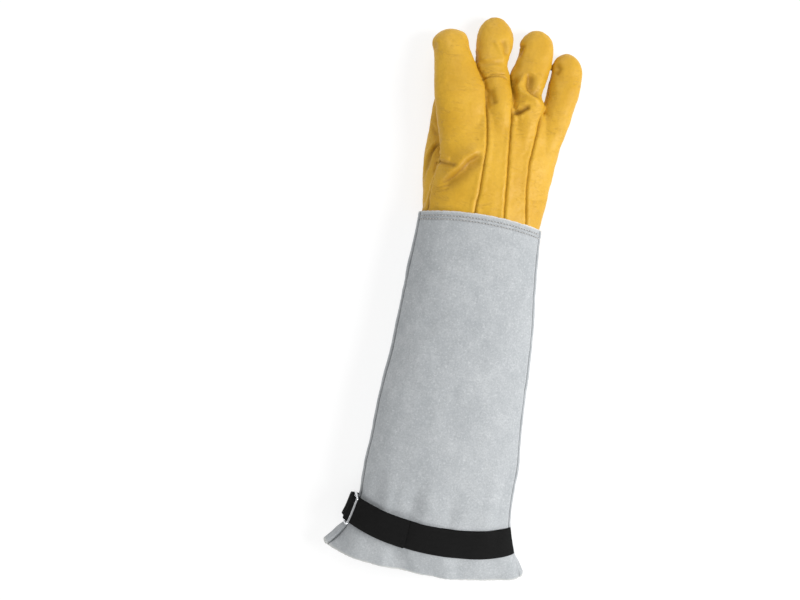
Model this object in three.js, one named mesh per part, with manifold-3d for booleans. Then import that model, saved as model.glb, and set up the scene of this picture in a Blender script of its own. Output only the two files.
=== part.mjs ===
import * as THREE from 'three';
import { mergeVertices } from 'three/addons/utils/BufferGeometryUtils.js';
import Module from 'manifold-3d';

const wasm = await Module();
wasm.setup();

// Right-hand glove lying back up, in millimetres: +Y to the fingertips, +X to the little finger,
// +Z up. The tables below are measured from the middle of the gauntlet's upper edge, and
// CENTRE is the middle of the whole glove's footprint in those measures.
const CENTRE = { x: -0.2, y: -76.55 };

// Driving sizes
const LEATHER = 1.8;          // wall of the grain leather hand
const SUEDE = 1.7;            // wall of the split suede gauntlet
const WEBBING = 1.4;          // thickness of the 25 mm strap
const PATCH = 1.2;            // thickness of the wrist patch
const GAP = 0.3;              // clearance between neighbouring pieces
const SADDLE = 0.9;           // clearance under webbing and patch, over the gauntlet's facets

// Wire slide: how far it reaches past the webbing's edges, how far its open bar stands off the
// gauntlet over the strap, and the degrees round the section of its three bars
const SLIDE = { wire: 2.4, overhang: 2.2, cornerTension: 0.25, openBarOut: 8.7 };
const BARS = { open: 158.5, strap: 168, anchor: 184 };

const HAND_TUCK = 12;         // length of hand leather inside the gauntlet
const SEAM_GROOVE = 2.4;      // depth of the sewn grooves on the back of the hand
const STRAP_BAND = { upper: -305, lower: -331 };
const GAUNTLET_SEAMS = { right: 14, left: 166 };       // degrees round the section from +X
const SEAM_GAP = 0.15;                                 // degrees from a side seam to each panel
const PANEL_COLUMNS = { back: 26, palm: 20 };          // facets round each gauntlet panel
const STRAP_COLUMNS = { turn: 26, flap: 16 };          // facet where the strap turns and ends
const ANCHOR_COLUMNS = { sewn: 6, doubled: 5, turn: 2, stations: { lower: 8, upper: 5 } };

// Webbing round a bar: the height of the turn, the degrees past the bar where it starts and where
// it reaches farthest, and how far the returned layer still stands off at its first stations
const TURN = { height: 6.6, start: 1.2, reach: 5.8, settling: [3.4, 1.6, 0.5] };

function table(names, rows) {
  return rows.map((row) => Object.fromEntries(names.map((name, i) => [name, row[i]])));
}

// Gauntlet sections from the upper edge to the hem. dip is how far the middle of a row sags
// towards the hem, with a blunter curve for a smaller bend; skew moves the little-finger side
// alone. edge is 1 for round sides and 2 for the sharp corners of a flat lens.
const GAUNTLET = table(['y', 'left', 'right', 'side', 'top', 'low', 'dip', 'bend', 'skew', 'edge'], [
  [0, -65.7, 65.4, 28, 58, 2.3, 5.4, 2, 0.8, 1],
  [-42, -67.0, 67.2, 30, 60, 2.3, 4, 2, 0, 1],
  [-58, -67.8, 68.6, 31, 61, 0, 2.5, 2, 0, 1],
  [-95, -69.8, 72.8, 31, 62, 0, 0, 2, 0, 1],
  [-150, -71.4, 76.6, 32, 64, 0, 0, 2, 0, 1],
  [-205, -75.2, 79.0, 32, 65, 0, -1, 2, 0, 1],
  [-250, -77.2, 83.0, 32, 67, 0, -3, 2, -1, 1],
  [-288, -77.6, 83.2, 32, 68, 0, -8, 2, -4, 1],
  [-305, -78.6, 85.0, 31, 64, 0, -11, 2, -5.2, 1],
  [-331, -85.6, 94.0, 29, 62, 0, -14, 1.5, -5.2, 1.1],
  [-346, -96.4, 102.4, 26, 57, 0, -16.6, 0.9, -2.6, 1.3],
  [-355, -106.4, 106.0, 23, 53, 0, -16.8, 0.55, -0.4, 1.5],
]);

// Soft puckers of the upper panel: positive stands up, negative is a hollow
const PUCKERS = table(['x', 'y', 'height', 'width', 'length'], [
  [-62, -292, -3.2, 7, 16],
  [-49, -300, 2.2, 6, 20],
  [-22, -300, -2.4, 8, 18],
  [-6, -296, 1.8, 8, 24],
  [18, -304, -2.2, 7, 18],
  [58, -300, 2.2, 8, 30],
  [70, -286, -2.8, 6, 34],
  [-30, -352, -2.6, 9, 16],
  [34, -354, -2.4, 9, 16],
  [-70, -346, 2.4, 8, 14],
]);

// Palm and back of the hand: the widest line runs from leftZ to rightZ
const HAND = table(['y', 'left', 'right', 'leftZ', 'rightZ', 'up', 'down', 'low'], [
  [-14, -63.5, 63.2, 28, 28, 27.9, 28, 4.4],
  [2, -62.6, 63.2, 28, 28, 27.9, 28, 4.4],
  [14, -60, 64.6, 30, 26, 28.6, 24, 4],
  [30, -57.4, 66.4, 33, 23, 28.4, 20.5, 0],
  [44, -55.8, 67.4, 35.6, 22.4, 26.6, 18.4, 0],
  [54, -55, 68, 37.4, 22, 24.6, 17.2, 0],
  [66, -54.8, 69, 38.8, 21.6, 22.4, 15.8, 0],
  [82, -58, 70.8, 40.4, 20.8, 19.2, 14.4, 0],
  [114, -65, 74.6, 39, 19, 12.5, 11.5, 0],
  [122, -63, 72, 37.6, 19, 9, 8.6, 0],
]);

const RAY = ['y', 'left', 'right', 'mid', 'up', 'down'];
const INDEX = table(RAY, [
  [60, -52, -9.5, 38, 13.5, 10],
  [86, -59.8, -8.8, 39, 12.4, 13],
  [125, -70, -15, 37.2, 12.8, 12.6],
  [140, -73.2, -18.8, 34, 14, 13],
  [155, -75.9, -28, 30, 14.5, 14],
  [170, -78.2, -36.2, 25.6, 14.6, 14],
  [181, -81.2, -41.2, 22.4, 14, 13.4],
  [188, -78.6, -43, 21, 12.4, 12],
  [194.2, -72.4, -47, 20.4, 8, 7.8],
  [197.8, -65.6, -54.4, 20, 2.6, 2.6],
]);
const MIDDLE = table(RAY, [
  [60, -7.6, 18.4, 38, 14.4, 12],
  [90, -9.4, 15.8, 36, 12.6, 12],
  [125, -15, 13.4, 32, 13.5, 13.5],
  [140, -19, 9.8, 28, 14, 14.5],
  [150, -23.8, 6.8, 25.4, 13.2, 15],
  [159, -30.4, 4.8, 22.4, 13.6, 15],
  [170, -32.8, 1.6, 19.4, 13.4, 15],
  [190, -35.4, 3.9, 14.6, 13.4, 14],
  [203, -34.6, 3, 12.6, 12.4, 12.6],
  [210.4, -31.4, -1.1, 12, 10.6, 11],
  [215.8, -26.6, -6.6, 12, 7.4, 7.8],
  [218.9, -21.6, -13, 12, 2.6, 2.6],
]);
const RING = table(RAY, [
  [60, 18.6, 40.8, 34, 14, 12],
  [90, 16.2, 41.4, 31.5, 12.6, 12],
  [125, 14.2, 46.2, 28, 13.8, 14],
  [132, 12.6, 46.8, 26, 13.8, 14.2],
  [141, 10.2, 42.8, 24, 13.6, 14.5],
  [152, 7.6, 44, 20.6, 13.4, 15.1],
  [160, 6.2, 45.6, 18.4, 14.6, 15.4],
  [172, 8.6, 47.4, 15.6, 14.2, 15],
  [185, 11.6, 48, 13.6, 13, 13.6],
  [197, 11.4, 47.6, 12.4, 12, 12.4],
  [203.6, 13.4, 45.4, 12, 10.4, 10.8],
  [209, 18, 40.2, 12, 7.2, 7.6],
  [212.2, 24.4, 33, 12, 2.6, 2.6],
]);
const LITTLE = table(RAY, [
  [60, 41.6, 64, 25, 11, 10],
  [88, 42.2, 70.6, 22.5, 12.6, 14],
  [125, 45.6, 78.6, 18, 14, 16],
  [134, 46.4, 80, 17, 13.8, 15.8],
  [156, 48.6, 82.4, 14.4, 13, 14.4],
  [168, 49.6, 82.8, 12.8, 11.8, 12.8],
  [179, 49.6, 81.8, 11.8, 11.2, 11.8],
  [186.6, 52, 77.8, 11.4, 9.4, 9.6],
  [191.2, 56, 72.6, 11.2, 6.4, 6.4],
  [194.2, 60.8, 67, 11.2, 2.4, 2.4],
]);
const THUMB = table(RAY, [
  [4, -62, -20, 24, 9, 18],
  [12, -63.4, -14, 22.4, 12.6, 20],
  [28, -66, -9, 19, 15.4, 19],
  [46, -68.8, -9, 16.8, 15.6, 16.8],
  [64, -70, -15, 14.8, 13.6, 14.8],
  [100, -70, -27, 12.6, 10.8, 12.6],
  [120, -69.8, -28.6, 12, 11, 12],
  [132, -67, -32, 11.6, 10.2, 11.6],
  [139.6, -62.6, -39, 11.2, 7.2, 8],
  [143.4, -57, -45, 11, 4, 4],
  [144.6, -53.6, -49, 11, 1.8, 1.8],
]);

// Dents, positive for a bulge, in the upper side of the hand and the fingers
const DENTS = table(['x', 'y', 'height', 'width', 'length'], [
  [-37, 54, -5, 17, 7],
  [-36, 72, 2.4, 18, 10],
  [-30, 36, -2, 16, 9],
  [-4, 184, -2.6, 7, 8],
  [-14, 154, -1.6, 16, 4],
  [-12, 125, -2.4, 6, 6],
  [31, 154, -4, 7, 10],
  [14, 150, 1.6, 5, 10],
  [30, 136, 2, 14, 5],
  [20, 121, -2.4, 8, 5],
  [52, 176, -1.6, 4, 8],
]);

// Sewing lines seen from above. Each back seam runs on along the open gap between two fingers.
const SEAM_INDEX_MIDDLE = [
  [-8.4, -20], [-8.2, 5], [-7.4, 45.7], [-6.9, 66], [-8.2, 84], [-10.6, 100], [-13, 113],
  [-15.2, 127], [-18.6, 140], [-26, 151.4], [-34, 167], [-40, 188], [-44, 202], [-44, 240],
];
const SEAM_MIDDLE_RING = [
  [22.4, -20], [22.4, 5], [19, 50], [17, 70], [15.6, 88], [14.5, 105], [13.8, 118], [10, 140],
  [4.9, 160], [5.4, 175], [7.2, 190], [5, 240],
];
const SEAM_RING_LITTLE = [
  [46.6, -20], [46.6, 4], [41, 45], [40.3, 70], [42.6, 96], [44, 117], [46.4, 129],
  [45.6, 139], [47, 158], [48.6, 170], [49.5, 240],
];
const MIDDLE_BASE = [[-15.2, 122], [-12.5, 112], [5.6, 115.5], [13.9, 114]];
const RING_BASE = [[13.9, 114], [29, 113], [42, 117], [46.3, 127]];
const THUMB_WEDGE = [
  [-15.6, 77.7], [-18.4, 24], [-19.8, 2.4], [4.6, 2.4], [2.5, 23], [0.6, 48], [-4.6, 65.8],
];

// Height, over the palm, that parts the back of the hand from its front
const PALM_PARTING = { start: -30, z: 31 };

// Side strips between the fingers: half the height of a strip at its crotch, middle and point,
// how far it starts before the crotch, and how far it ends short of the shorter finger's tip
const FOURCHETTE = { crotch: 7.5, middle: 5.5, point: 1.6, before: 9, short: 18, sections: 6 };
const CROTCH = { indexMiddle: 126, middleRing: 122, ringLittle: 130 };

// Facets round a finger, its hollow, each strip of the back of the hand, the palm and the patch
const FACETS = { finger: 14, hollow: 10, strip: 4, palm: 10, patch: 10, wire: 6, loop: 22 };

// A finger's hollow ends at the last row this many walls wide and high, and a bit before it
const HOLLOW_END = { widths: 4, heights: 1.6, shorter: 0.4 };

// Blocks that cut the leather into panels: they reach past the glove, and OVERRUN past an open end
const BEYOND = 250;
const OVERRUN = 4;
const CUT = { top: 90, below: -20, fingersPart: 131.5, wedgeBelow: -10, wedgeTop: 30 };

function lerp(a, b, t) {
  return a + (b - a) * t;
}

function radians(degrees) {
  return degrees * Math.PI / 180;
}

// Smooth curve through a table's rows, in every column
function at(rows, y) {
  const rising = rows[0].y < rows[rows.length - 1].y;
  const sorted = rising ? rows : [...rows].reverse();
  const last = sorted.length - 2;
  let i = 0;
  while (i < last && sorted[i + 1].y < y) {
    i += 1;
  }
  const [a, b] = [sorted[i], sorted[i + 1]];
  const before = sorted[Math.max(i - 1, 0)];
  const after = sorted[Math.min(i + 2, last + 1)];
  const span = b.y - a.y;
  const t = Math.min(Math.max((y - a.y) / span, 0), 1);
  const result = { y };
  for (const name of Object.keys(a)) {
    if (name !== 'y') {
      const slopeA = (b[name] - before[name]) / (b.y - before.y) * span;
      const slopeB = (after[name] - a[name]) / (after.y - a.y) * span;
      result[name] = (2 * t ** 3 - 3 * t ** 2 + 1) * a[name] + (t ** 3 - 2 * t ** 2 + t) * slopeA
        + (3 * t ** 2 - 2 * t ** 3) * b[name] + (t ** 3 - t ** 2) * slopeB;
    }
  }
  return result;
}

// x of a sewing line at a given y, straight between its points
function lineX(line, y) {
  const i = Math.max(line.findIndex((point) => point[1] >= y), 1);
  const [a, b] = [line[i - 1], line[i]];
  return lerp(a[0], b[0], (y - a[1]) / (b[1] - a[1]));
}

function bump(rows, x, y) {
  return rows.reduce((sum, row) => {
    const across = ((x - row.x) / row.width) ** 2;
    const along = ((y - row.y) / row.length) ** 2;
    return sum + row.height * Math.exp(-across - along);
  }, 0);
}

// Closed counterclockwise outline moved inwards, or outwards for a negative distance
const SHARPEST_MITRE = 0.4;

function inset(points, distance) {
  const inward = (from, to) => {
    const [dx, dy] = [to[0] - from[0], to[1] - from[1]];
    const size = Math.hypot(dx, dy);
    return [-dy / size, dx / size];
  };
  return points.map((point, i) => {
    const first = inward(points[(i + points.length - 1) % points.length], point);
    const second = inward(point, points[(i + 1) % points.length]);
    const mitre = Math.max(1 + first[0] * second[0] + first[1] * second[1], SHARPEST_MITRE);
    return point.map((value, axis) => value + (first[axis] + second[axis]) / mitre * distance);
  });
}

function solid(positions, triangles) {
  const vertProperties = new Float32Array(positions.flat());
  const triVerts = new Uint32Array(triangles.flat());
  return new wasm.Manifold(new wasm.Mesh({ numProp: 3, vertProperties, triVerts }));
}

function solidOf(geometry) {
  const bare = new THREE.BufferGeometry();
  bare.setAttribute('position', geometry.attributes.position);
  bare.setIndex(geometry.index);
  const merged = mergeVertices(bare, 1e-4);
  return new wasm.Manifold(new wasm.Mesh({
    numProp: 3,
    vertProperties: new Float32Array(merged.attributes.position.array),
    triVerts: new Uint32Array(merged.index.array),
  }));
}

// Solid through upright rings [{ y, points: [[x, z], ...] }], given in order of rising y
function loft(rings) {
  const count = rings[0].points.length;
  const positions = rings.flatMap(({ y, points }) => points.map(([x, z]) => [x, y, z]));
  const triangles = [];
  for (let i = 0; i + 1 < rings.length; i += 1) {
    for (let k = 0; k < count; k += 1) {
      const next = (k + 1) % count;
      const [a, b] = [i * count + k, i * count + next];
      triangles.push([a, a + count, b + count], [a, b + count, b]);
    }
  }
  for (const [ring, flip] of [[0, false], [rings.length - 1, true]]) {
    const { y, points } = rings[ring];
    const middle = points.reduce((sum, [x, z]) => [sum[0] + x / count, sum[1] + z / count], [0, 0]);
    const centre = positions.push([middle[0], y, middle[1]]) - 1;
    for (let k = 0; k < count; k += 1) {
      const edge = [ring * count + k, ring * count + (k + 1) % count];
      triangles.push([centre, ...(flip ? edge.reverse() : edge)]);
    }
  }
  return solid(positions, triangles);
}

// Finger ring: an oval about its widest line, flattened on the floor
function fingerRing(row, count, dented) {
  const points = [];
  for (let k = 0; k < count; k += 1) {
    const angle = 2 * Math.PI * k / count;
    const rise = Math.sin(angle);
    const x = lerp(row.left, row.right, (1 + Math.cos(angle)) / 2);
    const dent = dented && rise > 0 ? bump(DENTS, x, row.y) * rise : 0;
    const z = row.mid + (rise > 0 ? row.up : row.down) * rise;
    points.push([x, Math.max(z, 0) + dent]);
  }
  return points;
}

// Closed form of a finger. The hollow, with a wall, leaves out the rows too small to hold it.
function finger(rows, { wall = 0, count = FACETS.finger, dented = true } = {}) {
  const kept = rows.filter((row) => (
    row.right - row.left > HOLLOW_END.widths * wall && row.up > HOLLOW_END.heights * wall
  ));
  return loft(kept.map((row, i) => {
    const shorter = i === kept.length - 1 ? HOLLOW_END.shorter * wall : 0;
    return { y: row.y - shorter, points: inset(fingerRing(row, count, dented), wall) };
  }));
}

// Hand ring: each back seam is a groove with three points to the strip between two seams
function handRing(row) {
  const seams = [SEAM_RING_LITTLE, SEAM_MIDDLE_RING, SEAM_INDEX_MIDDLE].map((line) => {
    const side = (lineX(line, row.y) - row.left) / (row.right - row.left);
    return Math.acos(2 * side - 1);
  });
  const marks = [0, ...seams, Math.PI];
  const points = [];
  for (let strip = 0; strip < 4; strip += 1) {
    for (let k = 0; k < FACETS.strip; k += 1) {
      const sewn = k === 0 && strip > 0;
      points.push([lerp(marks[strip], marks[strip + 1], k / FACETS.strip), sewn ? SEAM_GROOVE : 0]);
    }
  }
  for (let k = 0; k < FACETS.palm; k += 1) {
    points.push([Math.PI + Math.PI * k / FACETS.palm, 0]);
  }
  return points.map(([angle, groove]) => {
    const side = (1 + Math.cos(angle)) / 2;
    const rise = Math.sin(angle);
    const x = lerp(row.left, row.right, side);
    const z = lerp(row.leftZ, row.rightZ, side) + (rise > 0 ? row.up : row.down) * rise;
    const dent = rise > 0 ? bump(DENTS, x, row.y) * rise : 0;
    return [x, Math.max(z - groove, row.low) + dent];
  });
}

// Palm and four fingers in one. The hollow, with a wall, runs out through the tucked end.
function hand(wall) {
  const rows = HAND.map((row, i) => {
    const shorter = i === HAND.length - 1 ? wall : 0;
    return { y: row.y - shorter, points: inset(handRing(row), wall) };
  });
  rows[0].y = wall > 0 ? -HAND_TUCK - OVERRUN : -HAND_TUCK;
  const count = wall > 0 ? FACETS.hollow : FACETS.finger;
  const fingers = [INDEX, MIDDLE, RING, LITTLE].map((rayRows) => finger(rayRows, { wall, count }));
  return fingers.reduce((whole, one) => whole.add(one), loft(rows));
}

// Upright block over a closed outline in plan
function prism(outline, low, high, grow = 0) {
  const grown = inset(outline, -grow).map(([x, y]) => new THREE.Vector2(x, y));
  const block = new THREE.ExtrudeGeometry(new THREE.Shape(grown), {
    depth: high - low + 2 * grow, bevelEnabled: false,
  });
  block.translate(0, 0, low - grow);
  return solidOf(block);
}

// Everything above, or below, the widest line of a finger
function parted(rows, above, grow) {
  const { mid: tipHeight } = rows[rows.length - 1];
  const heights = [
    { y: PALM_PARTING.start, mid: PALM_PARTING.z }, ...rows, { y: BEYOND, mid: tipHeight },
  ];
  return loft(heights.map(({ y, mid }) => {
    const [low, high] = above ? [mid - grow, BEYOND] : [-BEYOND, mid + grow];
    return { y, points: [[BEYOND, low], [BEYOND, high], [-BEYOND, high], [-BEYOND, low]] };
  }));
}

// Strip on the back of one finger, between two sewing lines
function backStrip(rows, leftLine, rightLine, grow = 0) {
  const outline = [...rightLine, ...[...leftLine].reverse()];
  return prism(outline, 0, CUT.top, grow).intersect(parted(rows, true, grow));
}

// Front of one finger, from its base seam to the tip
function fingerFront(rows, base, leftLine, rightLine, grow = 0) {
  const beyondCrotch = ([, y]) => y > CUT.fingersPart;
  const right = rightLine.filter(beyondCrotch);
  const left = leftLine.filter(beyondCrotch).reverse();
  const outline = [...base, ...right, ...left];
  return prism(outline, CUT.below, CUT.top, grow).intersect(parted(rows, false, grow));
}

// Block that takes the facing sides of two fingers and the crotch between them
function fourchette(left, right, crotch, grow = 0) {
  const start = crotch - FOURCHETTE.before - grow;
  const tip = Math.min(left[left.length - 1].y, right[right.length - 1].y) - FOURCHETTE.short + grow;
  return loft(steps(0, 1, FOURCHETTE.sections).map((part) => {
    const y = lerp(start, tip, part);
    const half = part < 0.5 ? lerp(FOURCHETTE.crotch, FOURCHETTE.middle, 2 * part)
      : lerp(FOURCHETTE.middle, FOURCHETTE.point, 2 * part - 1);
    const [a, b] = [at(left, y), at(right, y)];
    const [x0, x1] = [(a.left + a.right) / 2, (b.left + b.right) / 2];
    const reach = half + grow;
    return {
      y,
      points: [[x1, b.mid - reach], [x1, b.mid + reach], [x0, a.mid + reach], [x0, a.mid - reach]],
    };
  }));
}

function geometryOf(manifold) {
  const { vertProperties, triVerts } = manifold.getMesh();
  const geometry = new THREE.BufferGeometry();
  geometry.setAttribute('position', new THREE.BufferAttribute(new Float32Array(vertProperties), 3));
  geometry.setIndex(new THREE.BufferAttribute(new Uint32Array(triVerts), 1));
  return geometry;
}

// The underside's curve runs this much deeper than the floor, which flattens it
const UNDERSIDE_FULLNESS = 1.22;

// Point of the gauntlet at a nominal y and an angle round its section
function gauntletPoint(y, angle) {
  const row = at(GAUNTLET, y);
  const side = (1 + Math.cos(angle)) / 2;
  const rise = Math.sin(angle);
  const curve = Math.abs(rise) ** row.edge;
  const down = (row.side - row.low) * UNDERSIDE_FULLNESS;
  const x = lerp(row.left, row.right, side);
  const alongY = y + row.dip * Math.abs(rise) ** row.bend + row.skew * side;
  const z = rise > 0 ? row.side + (row.top - row.side) * curve : row.side - down * curve;
  const pucker = bump(PUCKERS, x, alongY) * Math.max(rise, 0);
  return new THREE.Vector3(x, alongY, Math.max(z, row.low) + pucker);
}

// The same point moved out from the gauntlet's surface
function gauntletSurface(y, angle, out) {
  const step = 0.02;
  const point = gauntletPoint(y, angle);
  const round = gauntletPoint(y, angle + step).sub(gauntletPoint(y, angle - step));
  const along = gauntletPoint(y + 1, angle).sub(gauntletPoint(y - 1, angle));
  return point.addScaledVector(along.cross(round).normalize(), out);
}

function steps(from, to, count) {
  return Array.from({ length: count + 1 }, (_, i) => lerp(from, to, i / count));
}

// Closed sheet between two grids of points of the same size
function sheet(outer, inner) {
  const [rows, columns] = [outer.length, outer[0].length];
  const positions = [...outer.flat(), ...inner.flat()];
  const place = (layer, i, k) => layer * rows * columns + i * columns + k;
  const index = [];
  const quad = (a, b, c, d) => index.push(a, b, c, a, c, d);
  for (let i = 0; i + 1 < rows; i += 1) {
    for (let k = 0; k + 1 < columns; k += 1) {
      quad(place(0, i, k), place(0, i + 1, k), place(0, i + 1, k + 1), place(0, i, k + 1));
      quad(place(1, i, k), place(1, i, k + 1), place(1, i + 1, k + 1), place(1, i + 1, k));
    }
  }
  for (let i = 0; i + 1 < rows; i += 1) {
    const last = columns - 1;
    quad(place(0, i, 0), place(1, i, 0), place(1, i + 1, 0), place(0, i + 1, 0));
    quad(place(0, i, last), place(0, i + 1, last), place(1, i + 1, last), place(1, i, last));
  }
  for (let k = 0; k + 1 < columns; k += 1) {
    const last = rows - 1;
    quad(place(0, 0, k), place(0, 0, k + 1), place(1, 0, k + 1), place(1, 0, k));
    quad(place(0, last, k), place(1, last, k), place(1, last, k + 1), place(0, last, k + 1));
  }
  const geometry = new THREE.BufferGeometry().setFromPoints(positions);
  geometry.setIndex(index);
  return outwardFacing(geometry);
}

function outwardFacing(geometry) {
  const index = geometry.index.array;
  const position = geometry.attributes.position;
  const corner = (i) => new THREE.Vector3().fromBufferAttribute(position, index[i]);
  let volume = 0;
  for (let i = 0; i < index.length; i += 3) {
    volume += corner(i).dot(corner(i + 1).cross(corner(i + 2)));
  }
  if (volume < 0) {
    for (let i = 0; i < index.length; i += 3) {
      [index[i], index[i + 1]] = [index[i + 1], index[i]];
    }
  }
  return geometry;
}

// Ribbon along a path of [degrees round the section, distance out], across a band of the gauntlet
function ribbon(path, band, thickness, columns) {
  const grid = (shift) => path.map((station, i) => {
    const before = path[Math.max(i - 1, 0)];
    const after = path[Math.min(i + 1, path.length - 1)];
    return steps(band.lower, band.upper, columns).map((y) => {
      const [point, ahead, behind] = [station, after, before].map(([degrees, out]) => (
        gauntletSurface(y, radians(degrees), out)
      ));
      const along = ahead.sub(behind).normalize();
      const across = gauntletSurface(y + 1, radians(station[0]), station[1]).sub(point);
      return point.clone().addScaledVector(across.cross(along).normalize(), shift);
    });
  });
  return sheet(grid(thickness / 2), grid(-thickness / 2));
}

const GAUNTLET_ROWS = [
  0, -21, -42, -58, -95, -150, -250, -292, -305, -318, -331, -339, -346, -355,
];

function gauntletPanel(panel) {
  const count = PANEL_COLUMNS[panel];
  const angles = steps(0, count, count).map((column) => radians(columnDegrees(panel, column)));
  const grid = (out) => GAUNTLET_ROWS.map((y) => (
    angles.map((angle) => gauntletSurface(y, angle, out))
  ));
  return sheet(grid(0), grid(-SUEDE));
}

// Half-moon patch under the wrist: straight at the gauntlet's edge, round towards the hem
const PATCH_ROWS = table(['y', 'from', 'to'], [
  [0.4, 223, 358], [-8, 226, 357], [-17, 231, 355], [-25, 237, 352], [-32, 244, 343],
  [-37, 253, 329], [-39.6, 264, 312],
]);

function wristPatch() {
  const grid = (out) => PATCH_ROWS.map(({ y, from, to }) => (
    steps(radians(from), radians(to), FACETS.patch).map((angle) => gauntletSurface(y, angle, out))
  ));
  return sheet(grid(SADDLE + PATCH), grid(SADDLE));
}

// Degrees round the section of a panel's facet edge, counted from the panel's first edge
function columnDegrees(panel, column) {
  const { right, left } = GAUNTLET_SEAMS;
  const start = panel === 'back' ? right : left;
  const span = panel === 'back' ? left - right : right + 360 - left;
  return start + SEAM_GAP + (span - 2 * SEAM_GAP) * column / PANEL_COLUMNS[panel];
}

const WEBBING_OUT = { under: SADDLE + WEBBING / 2, over: SADDLE + 2 * GAP + 1.5 * WEBBING };

// Webbing that goes round a bar of the slide and comes back over itself. facing is 1 where the
// turn looks to a greater angle.
function turnedPath(lower, bar, facing, upper) {
  const { under, over } = WEBBING_OUT;
  const [start, farthest] = [bar + TURN.start * facing, bar + TURN.reach * facing];
  return [
    ...lower.map((degrees) => [degrees, under]),
    [start, under], [farthest, under + TURN.height / 2], [start, under + TURN.height],
    ...upper.map((degrees, i) => [degrees, over + (TURN.settling[i] ?? 0)]),
  ];
}

// Strap over the back, turned round the slide's middle bar and folded back on itself
function strapPath() {
  const { turn, flap } = STRAP_COLUMNS;
  const columns = steps(0, turn, turn).map((column) => columnDegrees('back', column));
  return turnedPath(columns, BARS.strap, 1, columns.slice(flap).reverse());
}

// Short webbing that holds the slide's far bar and is sewn under the thumb-side edge
function anchorPath() {
  const { sewn, doubled, turn } = ANCHOR_COLUMNS;
  const degrees = (column) => columnDegrees('palm', column);
  const lower = steps(sewn, turn, ANCHOR_COLUMNS.stations.lower).map(degrees);
  const upper = steps(turn, doubled, ANCHOR_COLUMNS.stations.upper).map(degrees);
  return turnedPath(lower, BARS.anchor, -1, upper);
}

// Closed loop of round wire through the given corners
function wireLoop(corners, diameter) {
  const [count, sides] = [FACETS.loop, FACETS.wire];
  const curve = new THREE.CatmullRomCurve3(corners, true, 'catmullrom', SLIDE.cornerTension);
  const centres = Array.from({ length: count }, (_, i) => curve.getPointAt(i / count));
  const total = corners.reduce((sum, one) => sum.add(one), new THREE.Vector3());
  const middle = total.divideScalar(corners.length);
  const [a, b] = [corners[0].clone().sub(middle), corners[1].clone().sub(middle)];
  const normal = a.cross(b).normalize();
  const positions = [];
  const index = [];
  centres.forEach((centre, i) => {
    const tangent = curve.getTangentAt(i / count);
    const outward = new THREE.Vector3().crossVectors(tangent, normal).normalize();
    for (let k = 0; k < sides; k += 1) {
      const angle = 2 * Math.PI * k / sides;
      positions.push(centre.clone()
        .addScaledVector(outward, Math.cos(angle) * diameter / 2)
        .addScaledVector(normal, Math.sin(angle) * diameter / 2));
      const [next, turn] = [((i + 1) % count) * sides, (k + 1) % sides];
      index.push(i * sides + k, next + k, next + turn, i * sides + k, next + turn, i * sides + turn);
    }
  });
  const geometry = new THREE.BufferGeometry().setFromPoints(positions);
  geometry.setIndex(index);
  return outwardFacing(geometry);
}

// Straight round bar between two points
function wireBar(from, to, diameter) {
  const length = from.distanceTo(to);
  const bar = new THREE.CylinderGeometry(diameter / 2, diameter / 2, length, FACETS.wire);
  const axis = to.clone().sub(from).normalize();
  bar.applyQuaternion(new THREE.Quaternion().setFromUnitVectors(new THREE.Vector3(0, 1, 0), axis));
  bar.translate(...from.clone().lerp(to, 0.5).toArray());
  return bar;
}

// Rectangular wire loop with a bar across it: the open bar lies over the strap, the middle one
// is in the strap's turn and the far one in the anchor's
function strapSlide() {
  const out = WEBBING_OUT.under + TURN.height / 2;
  const [upper, lower] = [STRAP_BAND.upper + SLIDE.overhang, STRAP_BAND.lower - SLIDE.overhang];
  const middle = lerp(lower, upper, 0.5);
  const place = (y, bar) => (
    gauntletSurface(y, radians(BARS[bar]), bar === 'open' ? SLIDE.openBarOut : out)
  );
  const loop = wireLoop([
    place(lower, 'open'), place(middle, 'open'), place(upper, 'open'), place(upper, 'strap'),
    place(upper, 'anchor'), place(middle, 'anchor'), place(lower, 'anchor'), place(lower, 'strap'),
  ], SLIDE.wire);
  const bar = wireBar(place(lower, 'strap'), place(upper, 'strap'), SLIDE.wire);
  return geometryOf(solidOf(loop).add(solidOf(bar)));
}

const FINISH = {
  yellow_leather: { color: 0xd6a634, roughness: 0.5, metalness: 0 },
  grey_suede: { color: 0xbec3c7, roughness: 0.95, metalness: 0 },
  black_webbing: { color: 0x1c1c1e, roughness: 0.8, metalness: 0 },
  slide_metal: { color: 0xc9ccd0, roughness: 0.25, metalness: 1 },
};

const glove = new THREE.Group();

function piece(name, geometry, finish) {
  const mesh = new THREE.Mesh(geometry, new THREE.MeshStandardMaterial(FINISH[finish]));
  mesh.name = name;
  mesh.position.set(-CENTRE.x, -CENTRE.y, 0);
  glove.add(mesh);
}

const handForm = hand(0);
const handHollow = hand(LEATHER);
const thumbForm = finger(THUMB, { dented: false });
const thumbHollow = finger(THUMB, { wall: LEATHER, count: FACETS.hollow, dented: false });
const wholeSkin = handForm.add(thumbForm).subtract(handHollow).subtract(thumbHollow);
const wedge = (grow) => prism(THUMB_WEDGE, CUT.wedgeBelow, CUT.wedgeTop, grow);

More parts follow.
